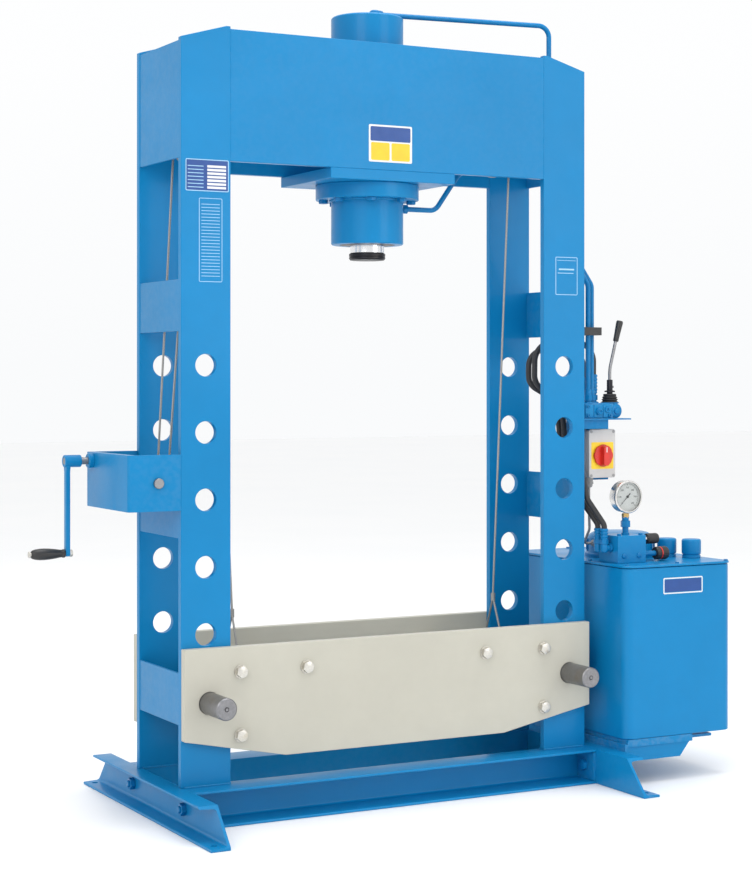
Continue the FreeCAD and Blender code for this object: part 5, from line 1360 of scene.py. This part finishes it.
def build_switch():
    low, high = LOW["switch_box"], HIGH["switch_box"]
    x, z = (low.x + high.x) / 2, (low.z + high.z) / 2
    corner = 0.007
    outline = rounded_outline(rectangle(low.x, low.z, high.x, high.z), corner)
    inset = 0.0015
    smaller = rounded_outline(rectangle(low.x + inset, low.z + inset, high.x - inset,
        high.z - inset), corner - inset)
    bm = bmesh.new()
    add_prism(bm, outline, (), low.y + 0.020, high.y, "y")
    add_prism(bm, smaller, (), low.y + 0.0185, low.y + 0.0205, "y")
    add_prism(bm, outline, (), low.y, low.y + 0.019, "y")
    keep("switch_enclosure", bm, (0.0016, 3), grey_plastic, "frame", "grey_plastic", ["switch_box"])
    knob_z = z - 0.006
    half = 0.0405
    plate = rounded_outline(rectangle(x - half, knob_z - half, x + half, knob_z + half), 0.004)
    plate = prism("switch_yellow_plate", plate, low.y - 0.0004, low.y + 0.0006, "y",
        [circle((x, knob_z), 0.0056, 32)], 0.0003)
    settle(plate, yellow, "frame", "yellow_plastic")
    bm = bmesh.new()
    for dx, dz in ((-1, -1), (1, -1), (1, 1), (-1, 1)):
        cx, cz = x + dx * 0.0405, z + dz * 0.0665
        add_lathe(bm, [(0, 0), (0.0042, 0), (0.0045, 0.0004), (0.0045, 0.0008), (0.0034, 0.0012),
            (0.0010, 0.0012), (0, 0.0006)], "-y", (cx, low.y, cz), 24)
    keep("switch_lid_screws", bm, (), cable_grey, "frame", "grey_plastic")
    # rotary handle: a skirt, a raised bar and a lobed rim
    knob_front = low.y - 0.0008
    bm = bmesh.new()
    outline = []
    for i in range(96):
        angle = 2 * math.pi * i / 96
        reach = 0.0338 - 0.0016 * (0.5 - 0.5 * math.cos(8 * angle)) ** 3
        outline.append((x + reach * math.cos(angle), knob_z + reach * math.sin(angle)))
    add_prism(bm, outline, (), knob_front - 0.0085, knob_front, "y")
    bar = rounded_outline([(x - 0.0100, knob_z - 0.0300), (x + 0.0100, knob_z - 0.0300),
        (x + 0.0085, knob_z + 0.0300), (x - 0.0085, knob_z + 0.0300)], 0.006)
    add_prism(bm, bar, (), knob_front - 0.0236, knob_front - 0.006, "y")
    handle = from_bmesh("switch_rotary_handle", bm, 0.0018, 3, tidy=False)
    settle(handle, red, "switch_knob", "red_plastic", ["switch_knob"])
    bm = bmesh.new()
    mark = rounded_outline(rectangle(x - 0.0014, knob_z + 0.010, x + 0.0014, knob_z + 0.026),
        0.0006)
    add_prism(bm, mark, (), knob_front - 0.0239, knob_front - 0.0232, "y")
    keep("switch_handle_mark", bm, (), label_white, "switch_knob", "grey_plastic")


def build_labels():
    """Bare plates and films in the places where a press carries its labels."""
    front = LOW["beam_cheeks"].y

    def film(name, x0, x1, z0, z1, material, lift=0.0004, border=None, y=front):
        corner = min(0.004, (x1 - x0) * 0.1)
        outline = rounded_outline(rectangle(x0, z0, x1, z1), corner)
        holes = []
        if border:
            left, right, foot, head = x0 + border, x1 - border, z0 + border, z1 - border
            holes = [rounded_outline(rectangle(left, foot, right, head), corner * 0.6)]
        piece = prism(name, outline, y - lift, y + 0.0002, "y", holes, None)
        settle(piece, material, "frame", "label_film")

    def rules(name, fields, material, lift, y=front):
        """Blank strips where a plate would carry its entries."""
        bm = bmesh.new()
        for x0, x1, z0, z1 in fields:
            add_prism(bm, rectangle(x0, z0, x1, z1), (), y - lift, y - 0.0001, "y")
        settle(from_bmesh(name, bm, tidy=False), material, "frame", "label_film")

    film("beam_label_film", -0.081, 0.058, 1.809, 1.914, label_white)
    film("beam_label_band", -0.076, 0.053, 1.868, 1.909, label_blue, 0.0006)
    film("beam_label_left_field", -0.074, -0.0145, 1.814, 1.864, label_yellow, 0.0006)
    film("beam_label_right_field", -0.0085, 0.051, 1.814, 1.864, label_yellow, 0.0006)
    film("data_plate_film", -0.637, -0.511, 1.702, 1.788, label_blue)
    film("data_plate_frame", -0.637, -0.511, 1.702, 1.788, label_line, 0.0007, 0.0022)
    rows = [1.7725 - 0.0095 * i for i in range(7)]
    rules("data_plate_entries", [(-0.574, -0.519, z - 0.0062, z) for z in rows], label_white,
        0.0006)
    rules("data_plate_names", [(-0.631, -0.585, z - 0.0042, z - 0.0022) for z in rows], label_line,
        0.0006)
    film("list_label_frame", -0.598, -0.530, 1.458, 1.684, label_line, 0.0004, 0.0016)
    rows = [1.668 - 0.0088 * i for i in range(23)]
    rules("list_label_lines", [(-0.591, -0.537, z - 0.0016, z) for z in rows], label_line, 0.0003)
    film("right_label_frame", 0.546, 0.624, 1.446, 1.559, label_line, 0.0004, 0.0020)
    rules("right_label_lines", [
        (0.552, 0.618, 1.5480, 1.5492), (0.558, 0.612, 1.5200, 1.5245),
        (0.554, 0.610, 1.5100, 1.5120),
    ], label_line, 0.0003)
    tank_front = LOW["tank"].y
    film("tank_label_film", 0.835, 0.980, 0.556, 0.604, label_white, 0.0004, 0.0035, tank_front)
    film("tank_label_band", 0.8405, 0.9745, 0.5615, 0.5985, label_blue, 0.0003, None, tank_front)


build_valve()
build_valve_fittings()
build_unions()
build_switch()
build_labels()


# ------------------------------------------------------------------ floor and light
def build_studio():
    bm = bmesh.new()
    bmesh.ops.create_grid(bm, x_segments=4, y_segments=4, size=30.0)
    floor = from_bmesh("studio_floor", bm, tidy=False)
    graph = Graph("studio_floor_pale")
    tone = graph.mix(graph.span(graph.noise(0.8, 4.0), 0.3, 0.7), (0.925, 0.93, 0.935),
        (0.945, 0.945, 0.945))
    graph.feed(graph.shader.inputs["Base Color"], tone)
    graph.shader.inputs["Roughness"].default_value = 0.6
    floor.data.materials.append(graph.material)
    floor.location.z = -0.0008
    bpy.context.scene.view_settings.view_transform = "Standard"
    horizon, zenith, haze_top = (0.955, 0.965, 0.975, 1.0), (0.99, 0.995, 1.0, 1.0), 0.16
    world = bpy.data.worlds.new("studio")
    bpy.context.scene.world = world
    world.use_nodes = True
    background = world.node_tree.nodes["Background"]
    links = world.node_tree.links
    way = world.node_tree.nodes.new("ShaderNodeTexCoord")
    split = world.node_tree.nodes.new("ShaderNodeSeparateXYZ")
    rise = world.node_tree.nodes.new("ShaderNodeMapRange")
    rise.inputs["From Min"].default_value = 0.0
    rise.inputs["From Max"].default_value = haze_top
    shade = world.node_tree.nodes.new("ShaderNodeMix")
    shade.data_type = "RGBA"
    shade.inputs[6].default_value = horizon
    shade.inputs[7].default_value = zenith
    links.new(way.outputs["Generated"], split.inputs[0])
    links.new(split.outputs["Z"], rise.inputs["Value"])
    links.new(rise.outputs["Result"], shade.inputs[0])
    links.new(shade.outputs[2], background.inputs["Color"])
    background.inputs["Strength"].default_value = 1.0
    lights = (
        ("key", (-5.0, -4.6, 4.4), 3.6, 120.0, (0, 0, 1.1)),
        ("fill", (3.2, -6.0, 2.6), 3.0, 60.0, (0.2, 0, 1.0)),
        ("top", (0.5, -0.5, 5.5), 3.0, 130.0, (0, 0, 0.5)),
    )
    for name, spot, size, power, aim in lights:
        data = bpy.data.lights.new(name, "AREA")
        data.shape = "SQUARE"
        data.size = size
        data.energy = power
        lamp = bpy.data.objects.new(name, data)
        lamp.location = spot
        way = Vector(aim) - Vector(spot)
        lamp.rotation_euler = way.to_track_quat("-Z", "Y").to_euler()
        bpy.context.scene.collection.objects.link(lamp)


build_studio()
